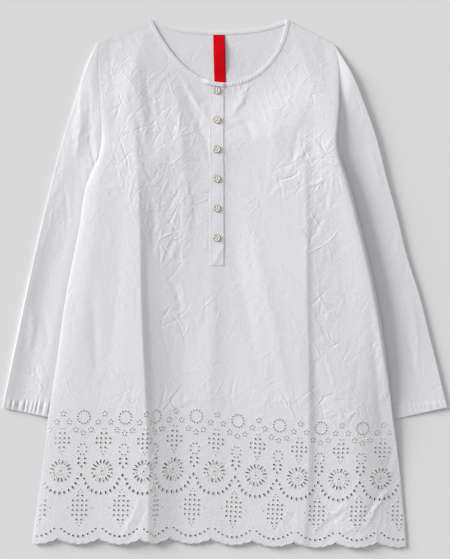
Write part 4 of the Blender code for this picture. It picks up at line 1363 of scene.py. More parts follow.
def shoulder(x: Array) -> Array:
    """How far down the shoulder seams are at x."""
    slope = SHOULDER_LEFT[1] / (NECK_LEFT_X - SHOULDER_LEFT[0])
    left = (NECK_LEFT_X - x) * slope
    slope = (SHOULDER_RIGHT[1] - NECK_RIGHT_DOWN) / (SHOULDER_RIGHT[0] - NECK_RIGHT_X)
    return np.where(x < 0, left, NECK_RIGHT_DOWN + (x - NECK_RIGHT_X) * slope)


class Eyelet(NamedTuple):
    """An eyelet of the openwork, placed from the middle of its wheel."""

    x: float
    along: float
    long: float  # half its length
    wide: float  # half its width
    angle: float = 0.0


@dataclass
class Openwork:
    """The openwork border: one repeat of eyelets laid side by side, over a scalloped edge."""

    first_wheel: float = -255.6
    repeat: float = 64.4
    repeats: int = 11
    wheel_along: float = 700.0
    petals: int = 16
    slant: float = 0.05  # of the repeat, to the wearer's right as it goes down
    cusp_along: float = 804.0
    scallop: float = 9.0
    small_scallops: int = 5
    small_depth: float = 1.9
    tiny: float = 1.08
    small: float = 1.25
    drift_at: tuple[float, ...] = (-256, -190, -126, -81, -16, 48, 110, 173, 238)
    drift_by: tuple[float, ...] = (0, 0, 1, -3, 1, 7, 11, 13, 12)
    drift_level: float = 612.0
    drift_top: float = 1.45
    drift_fade: float = 0.005
    drift_run: float = 110.0  # over which it grows, above its level
    scallop_shift: float = 5.5  # of the scallops against the wheels
    margin: float = 2.2  # from an eyelet or a bar to the panel's edge
    bar: tuple[float, ...] = (3.8, 5.6, 7.4)  # points of a satin bar, out from its wheel's middle

    def edge(self, across: Array) -> Array:
        """How far along the scalloped edge is.

        Args:
            across: Places round the hem.

        Returns:
            The edge there.
        """
        share = np.mod((across - self.first_wheel) / self.repeat + self.scallop_shift / self.repeat, 1.0)
        large = self.scallop * np.sin(math.pi * share) ** 0.8
        small = self.small_depth * np.abs(np.sin(math.pi * self.small_scallops * share)) ** 0.7
        return self.cusp_along + large + small

    def drift(self, x: Array, along: Array) -> Array:
        """How far the worn border has slipped down at a place."""
        share = self.drift_top - self.drift_fade * (along - self.drift_level)
        rise = ease((along - self.drift_level + self.drift_run) / self.drift_run)
        return np.interp(x, self.drift_at, self.drift_by) * share * rise

    @staticmethod
    def _ring(count: int, radius: float, long: float, wide: float, x: float, y: float) -> list[Eyelet]:
        """Eyelets in a ring, each pointing at its middle."""
        found = []
        for step in range(count):
            angle = math.tau * (step + 0.5) / count
            centre = (x + 0.97 * radius * math.sin(angle), y + 1.04 * radius * math.cos(angle))
            found.append(Eyelet(*centre, long, wide, angle))
        return found

    @staticmethod
    def _diamond(x: float, rows: Sequence[tuple[float, Sequence[float]]]) -> list[Eyelet]:
        """Slanting eyelets in the rows of a diamond, tiny ones at its ends.

        Args:
            x: Its middle.
            rows: The level of each row, and how far its eyelets are from the middle.

        Returns:
            The eyelets.
        """
        found = []
        for number, (level, offsets) in enumerate(rows):
            long, wide = (0.95, 0.95) if max(offsets) < 3 else (2.05, 1.35)
            columns = sorted({offset * side for offset in offsets for side in (-1, 1)})
            for column, offset in enumerate(columns):
                angle = 0.7 if (number + column) % 2 else -0.7
                found.append(Eyelet(x + offset, level, long, wide, angle))
        return found

    def motif(self) -> list[Eyelet]:
        """Eyelets of one repeat round its wheel, before it is slanted."""
        half, small, tiny = self.repeat / 2, self.small, self.tiny
        found = self._ring(self.petals, 13.9, 4.0, 1.32, 0, 0) + [Eyelet(0, 0, 1.45, 1.45)]
        # a diamond above the wheel and a longer one below, between the wheels
        both, inner = (3.6, 10.5), (3.6,)
        rows = ((-65.6, (2.3,)), (-58.4, inner), (-50.8, both), (-43.8, both), (-36.4, inner))
        found += self._diamond(0, (*rows, (-30.2, (2.7,)), (-26.0, (0.0,))))
        rows = [(28.5, (0.0,)), (32.4, (2.8,)), (38.4, inner)]
        rows += [(46.0 + 7.4 * row, both) for row in range(4)]
        found += self._diamond(half, (*rows, (75.6, inner), (80.8, (2.9,)), (84.9, (0.0,))))
        # a ring with flowers round it along the top
        found += self._ring(13, 9.6, small, small, half, -83.4)
        flowers = ((0, -88.7), (-9.8, -76.0), (9.8, -76.0))
        flowers += ((half - 11.7, -63.8), (half, -59.2), (half + 11.7, -63.8))
        for x, y in flowers:
            found += self._ring(5, 3.4, tiny, tiny, x, y)
        # an oval between the wheels, with leaves and drops beneath it
        for step in range(8):
            angle = math.tau * (step + 0.5) / 8
            centre = (half + 6.8 * math.sin(angle), -33.6 + 8.4 * math.cos(angle))
            found.append(Eyelet(*centre, small, small))
        for side in (-1, 1):
            found.append(Eyelet(half + side * 4.9, -19.2, 2.3, 1.55, side * 1.2))
            found.append(Eyelet(half + side * 4.9, -12.2, 2.3, 1.6, side * 1.0))
            found.append(Eyelet(half + side * 18.6, 57.0, 1.1, 0.75, side * 0.6))
        found += [Eyelet(half, -6.5, 2.1, 1.4), Eyelet(half, 6.2, 2.7, 1.8)]
        # a festoon beneath the wheel
        for step in range(11):
            angle = math.radians(blend(-79, 79, step / 10))
            centre = (27.5 * math.sin(angle), 6.9 + 27.7 * math.cos(angle))
            found.append(Eyelet(*centre, 1.9 if step in (0, 10) else 2.9, 1.6, 0.65 * angle))
        # round eyelets along the scallop, smaller towards its cusps
        for step, offset in enumerate((0.0, 7.7, 14.9, 21.4, 26.8)):
            radius, level = 2.1 - 0.14 * step, 101.6 - 0.0163 * offset**2
            for side in {-1, 1} if step else {1}:
                found.append(Eyelet(half + side * offset, level, radius, radius))
        return [eyelet._replace(x=eyelet.x - self.slant * eyelet.along) for eyelet in found]

    def _wheels(self) -> list[Point]:
        """The middles of the wheels."""
        return [(self.first_wheel + n * self.repeat, self.wheel_along) for n in range(-1, self.repeats)]

    def holes(self, sides: int, clear_of: Inside) -> list[Array]:
        """Outlines of all the eyelets that lie clear of a panel's edges.

        Args:
            sides: Points round each eyelet.
            clear_of: Which points lie inside the panel by a margin.

        Returns:
            Points (across, along) round each eyelet.
        """
        turn = math.tau * np.arange(sides) / sides
        outlines = []
        for across, along in self._wheels():
            for x, y, long, wide, angle in self.motif():
                local = np.stack([wide * np.sin(turn), long * np.cos(turn)], axis=1)
                cos, sin = math.cos(angle), math.sin(angle)
                outline = local @ np.array([[cos, -sin], [sin, cos]]) + (across + x, along + y)
                if clear_of(outline, self.margin).all():
                    outlines.append(outline)
        return outlines

    def spokes(self, clear_of: Inside) -> list[Array]:
        """Short raised bars of satin stitch inside each wheel.

        Args:
            clear_of: Which points lie inside the panel by a margin.

        Returns:
            Points (across, along) of each bar.
        """
        angles = [math.tau * (step + 0.5) / self.petals for step in range(self.petals)]
        bars = [np.outer(self.bar, (math.sin(angle), math.cos(angle))) for angle in angles]
        laid = [bar + wheel for wheel in self._wheels() for bar in bars]
        return [bar for bar in laid if clear_of(bar, self.margin).all()]


@dataclass
class BodyShape:
    """Where the cloth of the front and back panels lies, fold by fold."""

    openwork: Openwork = field(default_factory=Openwork)
    take_up: float = 19.0  # cloth hidden by the fold on the wearer's right
    dart: float = 243.0  # level of the bust dart's point, where that fold starts
    dart_run: float = 90.0
    edge_lift: float = 0.4  # front above back along the side seams
    armhole_run: float = 70.0  # above the underarm, over which the side edges take the sleeve's height
    beyond: float = 260.0  # a cut edge runs on level with the shoulders as far as this
    neck_front: Array = field(init=False)
    neck_back: Array = field(init=False)
    front_top: Array = field(init=False)
    back_top: Array = field(init=False)
    front_relief: Relief = field(init=False)
    back_relief: Relief = field(init=False)

    def __post_init__(self) -> None:
        """Works out the cut edges and lays on the creases."""
        halves = (bezier(NECK_RIGHT_HALF, 60), bezier(NECK_LEFT_HALF, 60)[1:])
        self.neck_front = even(np.concatenate(halves), 1.5)
        self.neck_back = even(bezier(NECK_BACK, 80), 1.5)
        self.front_top = self._top_edge(self.neck_front)
        self.back_top = self._top_edge(self.neck_back)
        box = (-320, 305, -5, 835)
        self.front_relief = Relief(*box, FRONT_PATCHES, seed=100)
        self.back_relief = Relief(*box, BACK_PATCHES, seed=120, strength=0.12, bumps=0.1)
        self.front_relief.lay(FRONT_CREASES, 1.0, 300)
        self.back_relief.lay(BACK_CREASES, 0.6, 400)

    def _top_edge(self, neckline: Array) -> Array:
        """The cut upper edge (x, down): shoulder, neck and shoulder."""
        inner = moved_in(neckline, BINDING_WIDTH - BINDING_LAP)
        inside = inner[inner[:, 1] > shoulder(inner[:, 0])]
        left, right = (
            [(x, shoulder(x)) for x in pair]
            for pair in ((-self.beyond, inside[0, 0] - 0.1), (inside[-1, 0] + 0.1, self.beyond))
        )
        return np.concatenate([left, inside, right])

    def hidden(self, along: Array) -> Array:
        """How much cloth the fold on the wearer's right takes up at a level."""
        return self.take_up * ease((along - self.dart) / self.dart_run)

    def spread(self, across: Array, along: Array) -> tuple[Array, Array]:
        """Where a point of the flat front lies once the cloth is folded.

        Args:
            across: Flat coordinate across.
            along: Flat coordinate along.

        Returns:
            Its x and down.
        """
        hidden = self.hidden(along)
        lip, foot = FOLD_LINES.read("lip", along), FOLD_LINES.read("foot", along)
        x = across - hidden * ease((across - lip) / (foot - lip + hidden))
        return x, along + self.openwork.drift(x, along)

    def front_edges(self, along: Array) -> tuple[Array, Array]:
        """Flat coordinates of the front's side edges at a level."""
        left, right = self.back_edges(along)
        return left, right + self.hidden(along)

    def back_edges(self, along: Array) -> tuple[Array, Array]:
        """Flat coordinates of the back's side edges at a level."""
        return FOLD_LINES.read("left", along), FOLD_LINES.read("right", along)

    def front_height(self, x: Array, down: Array) -> Array:
        """Height of the front's cloth, creases and all.

        Args:
            x: Across.
            down: Down the garment.

        Returns:
            Heights.
        """
        fold, high = FOLD_LINES.all_at(down), FRONT_HEIGHTS.all_at(down)
        left, right = fold["left"], fold["right"]
        below_neck = ease(down / NECK_FRONT_DEPTH)
        foot = blend(self.front_top[1, 0], fold["foot"], below_neck)
        ridge = blend(self.front_top[-2, 0], fold["ridge"], below_neck)
        roll_left, roll_right = left + ROLL_WIDTH, right - ROLL_WIDTH_RIGHT
        seam_left, seam_right = (
            BACK_LEVELS.read(name, down) + self.edge_lift for name in ("seam_left", "seam_right")
        )
        at_armhole = 1 - ease((down - UNDERARM + self.armhole_run) / self.armhole_run)
        seam_left = blend(seam_left, high["roll_left"], 0.75 * at_armhole)
        seam_right = blend(seam_right, high["roll_right"], 0.6 * at_armhole)
        knots = (
            (left, seam_left),
            (left + 3.0, blend(seam_left, high["roll_left"], 0.3)),
            (roll_left, high["roll_left"]),
            ((roll_left + fold["lip"]) / 2, high["hollow"]),
            (fold["lip"], high["lip"]),
            (foot, high["foot"]),
            ((foot + NOTCH_LEFT) / 2, high["rise"]),
            (NOTCH_LEFT + 0 * down, high["placket"]),
            (NOTCH_RIGHT + 0 * down, high["placket"]),
            ((NOTCH_RIGHT + ridge) / 2, high["plain"]),
            (ridge, high["ridge"]),
            (fold["dip"], high["dip"]),
            ((fold["dip"] + roll_right) / 2, high["swell"]),
            (roll_right, high["roll_right"]),
            (right - 2.2, blend(seam_right, high["roll_right"], 0.84)),
            (right - 0.7, blend(seam_right, high["roll_right"], 0.55)),
            (right, seam_right),
        )
        height = through(x, knots, sharp=(4, 10))
        from_edge = self._from_top(x, down)
        seam = self.back_height(x, down) + NECK_STEP
        height = blend(seam, height, ease(from_edge / SEAM_RUN))
        near_edge = ease((x - left) / 7) * ease((right - x) / 7) * ease((from_edge + 3) / 9)
        return height + self.front_relief.at(x, down) * near_edge

    def _from_top(self, x: Array, down: Array) -> Array:
        """Distance of points from the front's cut upper edge, 0 above it."""
        path = even(self.front_top, 5.0)
        x, down = np.broadcast_arrays(x, down)
        nearest = np.full(x.shape, np.inf)
        for edge_x, edge_down in path:
            nearest = np.minimum(nearest, (x - edge_x) ** 2 + (down - edge_down) ** 2)
        below = down > np.interp(x, self.front_top[:, 0], self.front_top[:, 1])
        return np.where(below, np.sqrt(nearest), 0.0)

    def back_height(self, x: Array, down: Array) -> Array:
        """Height of the back's cloth.

        Args:
            x: Across.
            down: Down the garment.

        Returns:
            Heights.
        """
        left, right = self.back_edges(down)
        level = BACK_LEVELS.all_at(down)
        lines = (
            (left, level["seam_left"]),
            (left + ROLL_WIDTH, level["over_left"]),
            (level["inner_left"] + SLEEVE_RAMP / 4, level["over_left"]),
            (level["inner_left"] + SLEEVE_RAMP, FLOOR_LAYER + 0 * down),
            (level["inner_right"] - SLEEVE_RAMP, FLOOR_LAYER + 0 * down),
            (level["inner_right"] - SLEEVE_RAMP / 4, level["over_right"]),
            (right - ROLL_WIDTH, level["over_right"]),
            (right, level["seam_right"]),
        )
        height = 0 * x + lines[0][1]
        for (x0, z0), (x1, z1) in zip(lines, lines[1:]):
            height = np.where(x > x0, blend(z0, z1, ease((x - x0) / np.maximum(x1 - x0, 0.1))), height)
        lift = np.maximum(self.back_relief.at(x, down) + 0.4, 0)
        return height + lift * ease((x - left) / 30) * ease((right - x) / 30)


@dataclass
class BodyPanels:
    """Front and back, cut with their openwork, with the thread round every eyelet and scallop."""

    shape: BodyShape
    front_spacing: float = 2.2
    back_spacing: float = 3.4
    rim_thread: float = 0.42
    bar_thread: float = 0.45
    hem_thread: float = 0.5
    hem_reach: float = 2.6  # of the stitches over the hem
    hem_inset: float = 0.9
    hem_step: float = 0.8
    raised: float = 0.12  # of the rims and bars off the cloth
    edge_step: float = 2.2
    pieces: dict[str, list[Piece]] = field(default_factory=dict)  # cloth, rims, bars and hem of each
    areas: dict[str, float] = field(default_factory=dict)

    def _outline(self, top: Array, edges: Edges) -> Array:
        """The panel's cut line in flat coordinates: neck, side, scalloped hem and side."""
        start, end = (float(shoulder(np.array(x))) for x in (SHOULDER_EDGE_LEFT, SHOULDER_EDGE_RIGHT))
        inner = top[(top[:, 0] > SHOULDER_EDGE_LEFT) & (top[:, 0] < SHOULDER_EDGE_RIGHT)]
        upper = [(SHOULDER_EDGE_LEFT, start), *inner, (SHOULDER_EDGE_RIGHT, end)]
        upper = even(np.array(upper), self.edge_step)
        work = self.shape.openwork
        low = work.cusp_along + 3.0
        side = np.arange(start + 3.0, low - 1.0, self.edge_step)
        left, right = (np.stack([x, side], axis=1) for x in edges(side))
        corner_left, corner_right = (float(e) for e in edges(np.array(low)))
        step = work.repeat / (work.small_scallops * 6)
        across = np.arange(corner_right - step, corner_left, -step)
        hem = np.stack([across, work.edge(across)], axis=1)
        return np.concatenate([upper, right, hem, left[::-1]])

    def _inside(self, top: Array, edges: Edges) -> Inside:
        """A test of which flat points lie inside a panel by a margin."""

        def test(points: Array, margin: float) -> Array:
            """Which of the points lie inside."""
            across, along = points.T
            left, right = edges(along)
            above = np.interp(across, top[:, 0], top[:, 1]) + 1.5 * margin
            below = self.shape.openwork.edge(across) - margin
            return (along > above) & (along < below) & (across > left + margin) & (across < right - margin)

        return test

    def _slit(self, top: Array) -> Array:
        """The slit under the placket in flat coordinates, from below the neck to the placket's end."""
        start = float(np.interp(NOTCH_RIGHT, top[:, 0], top[:, 1])) + 4.0
        along = np.arange(start, NOTCH_END - 5, self.edge_step)
        shift = self.shape.hidden(along)
        right, left = (np.stack([x + shift, along], axis=1) for x in (NOTCH_RIGHT - 2.5, NOTCH_LEFT + 3.0))
        return np.concatenate([right, left[::-1]])

    def build(self, kit: Kit) -> None:
        """Builds both panels and their thread."""
        self._panel("front", Face.UP, kit)
        self._panel("back", Face.DOWN, kit)

    def _panel(self, name: str, face: Face, kit: Kit) -> None:
        """Builds one panel with its rims, bars and scalloped edge."""
        shape, is_front = self.shape, face is Face.UP
        top, edges, relief, sides, spacing = (
            (shape.front_top, shape.front_edges, shape.front_relief, 9, self.front_spacing)
            if is_front
            else (shape.back_top, shape.back_edges, shape.back_relief, 7, self.back_spacing)
        )
        inside = self._inside(top, edges)
        holes = shape.openwork.holes(sides, inside)
        eyelets = len(holes)
        if is_front:
            holes.append(self._slit(top))
        outline = self._outline(top, edges)
        flat, triangles, rings = CutPanel(outline, holes, spacing, inside).fill()
        points = self._laid(flat, is_front)
        a, b, c = (points[triangles[:, corner]] for corner in range(3))
        if (np.cross(b - a, c - a)[:, 2].mean() > 0) != is_front:
            triangles = triangles[:, ::-1]
        crumpled = relief.crumpled(points[:, 0] / MM, TOP_Y - points[:, 1] / MM)
        cloth = cloth_object(f"{name}_cloth", points, triangles, flat, kit.cotton, crumpled)
        after = np.roll(outline, -1, axis=0)
        self.areas[name] = abs(float((outline[:, 0] * after[:, 1] - after[:, 0] * outline[:, 1]).sum())) / 2
        raised, edging = np.array([0, 0, self.raised * MM * face.value]), {"finish": kit.edging}
        rims = [points[ring] + raised for ring in rings[:eyelets]]
        bars = [self._laid(bar, is_front) + raised for bar in shape.openwork.spokes(inside)]
        rim = {"sides": 4 if is_front else 3, "closed": True, **edging}
        self.pieces[name] = [
            cloth,
            kit.sew(f"{name}_eyelet_rims", rims, self.rim_thread, **rim),
            kit.sew(f"{name}_satin_bars", bars, self.bar_thread, **edging),
            self._hem(name, edges, is_front, kit),
        ]
        LOG.info("%s: %d triangles, %d eyelets", name, len(triangles), eyelets)

    def _laid(self, flat: Array, is_front: bool) -> Array:
        """Points in metres of flat points of a panel."""
        if is_front:
            x, down = self.shape.spread(flat[:, 0], flat[:, 1])
            return place(x, down, self.shape.front_height(x, down))
        x, down = flat[:, 0], flat[:, 1]
        return place(x, down, self.shape.back_height(x, down))

    def _hem(self, name: str, edges: Edges, is_front: bool, kit: Kit) -> Piece:
        """Close satin stitches over the scalloped edge."""
        work = self.shape.openwork
        left, right = (float(e) for e in edges(np.array(work.cusp_along)))
        across = np.arange(left + 2, right - 2, self.hem_step)
        line = self._laid(np.stack([across, work.edge(across) - self.hem_inset], axis=1), is_front)
        stitch = {"spacing": (0.55 if is_front else 0.9) * MM, "reach": self.hem_reach * MM}
        name = f"{name}_scallop_stitches"
        return kit.sew(name, [line], self.hem_thread, finish=kit.edging, turn=math.pi / 2, **stitch)

    def declare(self) -> None:
        """Hides the node each panel stands for, and sets each panel and its trims on the root body."""
        level = np.array(self.shape.openwork.cusp_along)
        for name, edges, beneath in (
            ("front", self.shape.front_edges, ["back_cloth"]),
            ("back", self.shape.back_edges, ["sleeve_right_cloth", "sleeve_left_cloth"]),
        ):
            cloth, *trims = self.pieces[name]
            left, right = edges(level)
            size, area = (float(right - left), LENGTH), self.areas[name] * MM * MM
            lay(cloth, f"{name}_body", "cotton", size, beneath, trims, area=area)


# --- The sleeves ---


@dataclass
class Sleeve:
    """A flattened sleeve: a tube from the armhole to a cuff with a turned hem."""

    side: Side
    rings: Sequence[SleeveRing]
    creases: Sequence[Crease]
    upper_arm: Sequence[Point]  # how it rises and falls across near the armhole
    forearm: Sequence[Point]  # and below the elbow
    shape: BodyShape
    crinkled: float  # strength of its crinkles
    pucker: float  # height of the puckers in the cuff's hem
    seed: int
    columns: int = 74  # points across each layer
    row_step: float = 2.5
    layer: float = 1.1
    least_gap: float = 0.3  # between the layers
    fold: float = 1.6  # width of the rounded fold beneath the body
    undercut: float = 1.8  # how far the outer fold overhangs the layer on the floor
    hem: float = 20.0
    armhole_gap: float = 0.3
    elbow_start: float = 150.0  # where its section starts to turn from the upper arm's to the forearm's
    elbow_run: float = 300.0
    softness: float = 0.07  # of the corners in its section
    turned_up: float = 0.45  # thickness that the hem adds
    turn_run: float = 1.5  # over which the hem's edge steps up
    calm_parts: float = 14.0  # the creases fade out over one part of the width in this many, beside each fold
    calm_top: float = 16.0  # and how far below the armhole they are at full height
    stitch_inset: float = 1.0  # of the cuff's stitches, below the hem's edge
    piece: Piece = field(init=False)
    stitches: Piece = field(init=False)
    flat_size: tuple[float, float] = field(init=False)

    @property
    def name(self) -> str:
        """The name of its node."""
        return "sleeve_right" if self.side is Side.RIGHT else "sleeve_left"

    def _layers(self) -> tuple[Array, Array]:
        """Rings of the upper and lower layers: ring, point, (x, down, height)."""
        share, sign = np.linspace(0, 1, self.columns), self.side.value
        start = float(shoulder(np.array(SHOULDER_EDGE_LEFT if sign < 0 else SHOULDER_EDGE_RIGHT)))
        down = blend(start, UNDERARM, share)
        edge = FOLD_LINES.read("left" if sign < 0 else "right", down)
        low = self.shape.back_height(edge, down)
        high = np.maximum(self.shape.front_height(edge, down), low + self.least_gap)
        x = edge + sign * self.armhole_gap
        upper, lower = ([np.stack([x, down, height], axis=1)] for height in (high, low))
        for ring in self.rings:
            outer, inner = (ring.outer_x, ring.outer_down), (ring.inner_x, ring.inner_down)
            width = math.dist(outer, inner)
            rim = (1 - share) * width / self.fold
            opened = np.sqrt(1 - (1 - np.clip(rim, 0, 1)) ** 2)
            upper_arm = 1 - ease((ring.outer_down - self.elbow_start) / self.elbow_run)
            puff = ring.puff * self._section(share / ring.shown, upper_arm)
            lift = FLOOR_LAYER + self.least_gap + (self.layer - self.least_gap) * opened
            tucked = blend(self.undercut / width, 1, share)
            flat = FLOOR_LAYER + 0 * share
            for rows, part, height in ((upper, share, lift + puff), (lower, tucked, flat)):
                x, down = (blend(start, end, part) for start, end in zip(outer, inner))
                rows.append(np.stack([x, down, height], axis=1))
        return np.array(upper), np.array(lower)

    def _section(self, share: Array, upper_arm: float) -> Array:
        """How the sleeve's upper layer rises and falls from its outer fold to the body's edge.

        Args:
            share: 0 at the outer fold, 1 at the body's edge, and on from there beneath the body.
            upper_arm: 1 for the shape near the armhole, 0 for the shape of the rest.

        Returns:
            Shares of the puff.
        """
        below, above = (softened(share, knots, self.softness) for knots in (self.forearm, self.upper_arm))
        return blend(below, above, upper_arm)

    def _lofted(self, rings: Array, middle: Array) -> Array:
        """Smooth rows through the rings, evenly spaced along their middle points."""
        reach = reach_along(middle)
        marks = np.linspace(0, reach[-1], round(reach[-1] / self.row_step) + 1)
        steps = np.diff(reach)[:, None, None]
        slopes = steady_slopes(np.diff(rings, axis=0) / steps, steps)
        row = np.clip(np.searchsorted(reach, marks) - 1, 0, len(reach) - 2)
        t = (marks - reach[row])[:, None, None] / steps[row]
        return hermite(t, steps[row], (rings[row], rings[row + 1]), (slopes[row], slopes[row + 1]))

    def build(self, kit: Kit) -> None:
        """Builds the sleeve and its cuff stitches."""
        left = -360 if self.side is Side.RIGHT else 120
        more = {"calm": 0.2, "strength": 0.13, "broad_strength": 0.26, "bumps": 0.12}
        relief = Relief(left, left + 240, 20, 640, SLEEVE_PATCHES, seed=self.seed + 10, **more)
        relief.lay(self.creases, self.crinkled, self.seed + 500)
        layers = self._layers()
        middle = layers[0][:, self.columns // 2, :2]
        upper, lower = (self._lofted(rings, middle) for rings in layers)
        rows, share = len(upper), np.linspace(0, 1, self.columns)
        along = np.arange(rows) * self.row_step
        from_cuff = along[::-1]
        calm_edges = ease(share * self.calm_parts) * ease((1 - share) * self.calm_parts)
        top = upper[:, :, 2]
        top += relief.at(upper[:, :, 0], upper[:, :, 1]) * calm_edges * ease(along / self.calm_top)[:, None]
        turned = self.turned_up * ease((self.hem - from_cuff) / self.turn_run)[:, None]
        wave = np.sin(share * 92 + 2.1 * np.sin(share * 17)) + 0.6 * np.sin(share * 151 + 1.0)
        bite = np.sin(math.pi * np.clip(from_cuff / (self.hem + 6), 0, 1))[:, None] ** 0.7
        top += turned + self.pucker * bite * wave[None, :] * calm_edges
        top[:] = np.maximum(top, lower[:, :, 2] + self.least_gap)
        loops = np.concatenate([upper, lower[:, ::-1]], axis=1)
        faces = grid_faces(rows, 2 * self.columns, around=True)
        if self.side is Side.LEFT:
            faces = faces[:, ::-1]
        x, down, height = loops.reshape(-1, 3).T
        flat = loops[:, :, :2].reshape(-1, 2)
        crumpled = relief.crumpled(x, down)
        name = f"{self.name}_cloth"
        self.piece = cloth_object(name, place(x, down, height), faces, flat, kit.cotton, crumpled)
        row = int(np.argmin(np.abs(from_cuff - self.hem + self.stitch_inset)))
        lines = [place(*layer[row].T) + (0, 0, lift) for layer, lift in ((upper, 0.2 * MM), (lower, 0.0))]
        self.stitches = kit.topstitch(f"{self.name}_cuff_stitches", lines, CUFF_STITCH)
        widths = np.linalg.norm(upper[:, 0, :2] - upper[:, -1, :2], axis=1)
        self.flat_size = (2 * float(widths.mean()), rows * self.row_step)
        LOG.info("%s: %d rows of %d", self.name, rows, 2 * self.columns)

    def declare(self) -> None:
        """Hides the node the sleeve stands for, and sets it and its stitches on the root body."""
        lay(self.piece, self.name, "cotton", self.flat_size, ["floor"], [self.stitches])


# --- Bindings, placket and label ---


@dataclass
class Strip:
    """A narrow strip of cloth with turned-down edges, laid along two lines."""

    name: str
    node: str
    crown: float  # how far its middle stands above its edges
    wall: float  # how deep its turned edges are
    across: int = 9
    lean: float = 0.12  # of its turned edges, outwards, as a share of the step between its points
    piece: Piece = field(init=False)
    flat_size: tuple[float, float] = field(init=False)

    @property
    def share(self) -> Array:
        """How far across each of its points is, 0 to 1, as one row."""
        return np.linspace(0, 1, self.across)[None, :]

    def build(
        self, near: Sequence[Array], far: Sequence[Array], ripple: Array | float, finish: Material
    ) -> Strip:
        """Builds the strip.

        Args:
            near: x, down and height along one edge.
            far: The same along the other edge.
            ripple: Heights to add at each row and point across.
            finish: Its finish.

        Returns:
            Itself.
        """
        near, far = np.column_stack(near), np.column_stack(far)
        rows = blend(near[:, None, :], far[:, None, :], self.share[:, :, None])
        rows[:, :, 2] += self.crown * (1 - (2 * self.share - 1) ** 4)
        rows[:, :, 2] += ripple
        walls = []
        for edge, beside in ((rows[:, :1], rows[:, 1:2]), (rows[:, -1:], rows[:, -2:-1])):
            dropped = edge + (edge - beside) * self.lean
            dropped[:, :, 2] = edge[:, :, 2] - self.wall
            walls.append(dropped)
        full = np.concatenate([walls[0], rows, walls[1]], axis=1)
        points = place(*full.reshape(-1, 3).T)
        width = float(np.linalg.norm(far[:, :2] - near[:, :2], axis=1).mean())
        reach = reach_along((near + far)[:, :2] / 2)
        sides = np.concatenate([[-0.5 - self.wall / width], self.share[0] - 0.5, [0.5 + self.wall / width]])
        flat = np.stack(np.broadcast_arrays(sides[None, :] * width, reach[:, None]), axis=-1)
        faces = grid_faces(len(full), full.shape[1])
        a, b, c = points[faces[len(faces) // 2 + full.shape[1] // 2][:3]]
        if np.cross(b - a, c - a)[2] < 0:
            faces = faces[:, ::-1]
        self.piece = cloth_object(self.name, points, faces, flat.reshape(-1, 2), finish)
        self.flat_size = (max(width + 2 * self.wall, 10.0), float(reach[-1]))
        LOG.info("%s: %.0f by %.0f mm", self.name, *self.flat_size)
        return self

    def declare(self, slot: str, rests_on: Sequence[str], trims: Sequence[Piece] = ()) -> None:
        """Hides the node the strip stands for, and sets it and its trims on the root body."""
        lay(self.piece, self.node, slot, self.flat_size, rests_on, trims)


@dataclass
class NeckBindings:
    """Bias bindings round the neck, puckered where they are stretched round the curve."""

    shape: BodyShape
    lap_start: float = 16.0
    lap_run: float = 14.0
    lap_lift: float = 1.5
    lift: float = 0.15  # of a binding off its panel
    stitch_inset: float = 1.0  # of its stitches, from its lower edge
    stitch_lift: float = 0.3
    row_step: float = 0.9
    strips: list[Strip] = field(default_factory=list)
    trims: list[Piece] = field(default_factory=list)

    def build(self, kit: Kit) -> None:
        """Builds the three bindings and their stitches."""
        front, back = self.shape.neck_front, self.shape.neck_back
        right = front[front[:, 0] < NOTCH_LEFT + PLACKET_WIDTH - 0.3]
        left = front[front[:, 0] > NOTCH_RIGHT - 6.0]
        plan = (
            ("right", right, self._over_height, (0.06, 0.16)),
            ("left", left, self.shape.front_height, (0.22, 0.20)),
            ("back", back, self.shape.back_height, (0.05, 0.05)),
        )
        for name, path, height, pucker in plan:
            self.strips.append(self._binding(f"neck_binding_{name}", path, height, pucker, kit.binding))
        for strip, (_, path, height, _) in zip(self.strips, plan):
            x, down = moved_in(path, BINDING_WIDTH - self.stitch_inset)[3:-3].T
            line = place(x, down, height(x, down) + self.stitch_lift)
            self.trims.append(kit.topstitch(f"{strip.name}_stitches", [line], NECK_STITCH))

    def _over_height(self, x: Array, down: Array) -> Array:
        """The front's height, climbing onto the placket at its end."""
        climb = ease((x - NOTCH_LEFT + self.lap_start) / self.lap_run)
        return self.shape.front_height(x, down) + self.lap_lift * climb

    def _binding(
        self, name: str, path: Array, height: Heights, pucker: tuple[float, float], finish: Material
    ) -> Strip:
        """Builds one binding, its pucker growing or fading from end to end."""
        path = even(path, self.row_step)
        far = moved_in(path, BINDING_WIDTH)
        level = height(far[:, 0], far[:, 1]) + self.lift
        strip = Strip(f"{name}_cloth", name, crown=0.22, wall=0.5)
        along = np.arange(len(path))[:, None] * self.row_step
        strength = blend(*pucker, np.linspace(0, 1, len(path)))[:, None] * (0.7 + 0.3 * np.sin(along / 17.0))
        phase = along / 4.4 + 0.75 * strip.share + 0.35 * np.sin(along / 9.3) + 0.2 * np.sin(along / 23.0)
        ripple = strength * np.sin(math.tau * phase) * np.sin(math.pi * strip.share) ** 0.6
        return strip.build((*path.T, level), (*far.T, level), ripple, finish)

    def declare(self) -> None:
        """Hides each binding's node, and sets each binding and its stitches on the root body."""
        for strip, trim in zip(self.strips, self.trims):
            panel = "back_cloth" if "back" in strip.node else "front_cloth"
            strip.declare("binding", [panel], [trim])


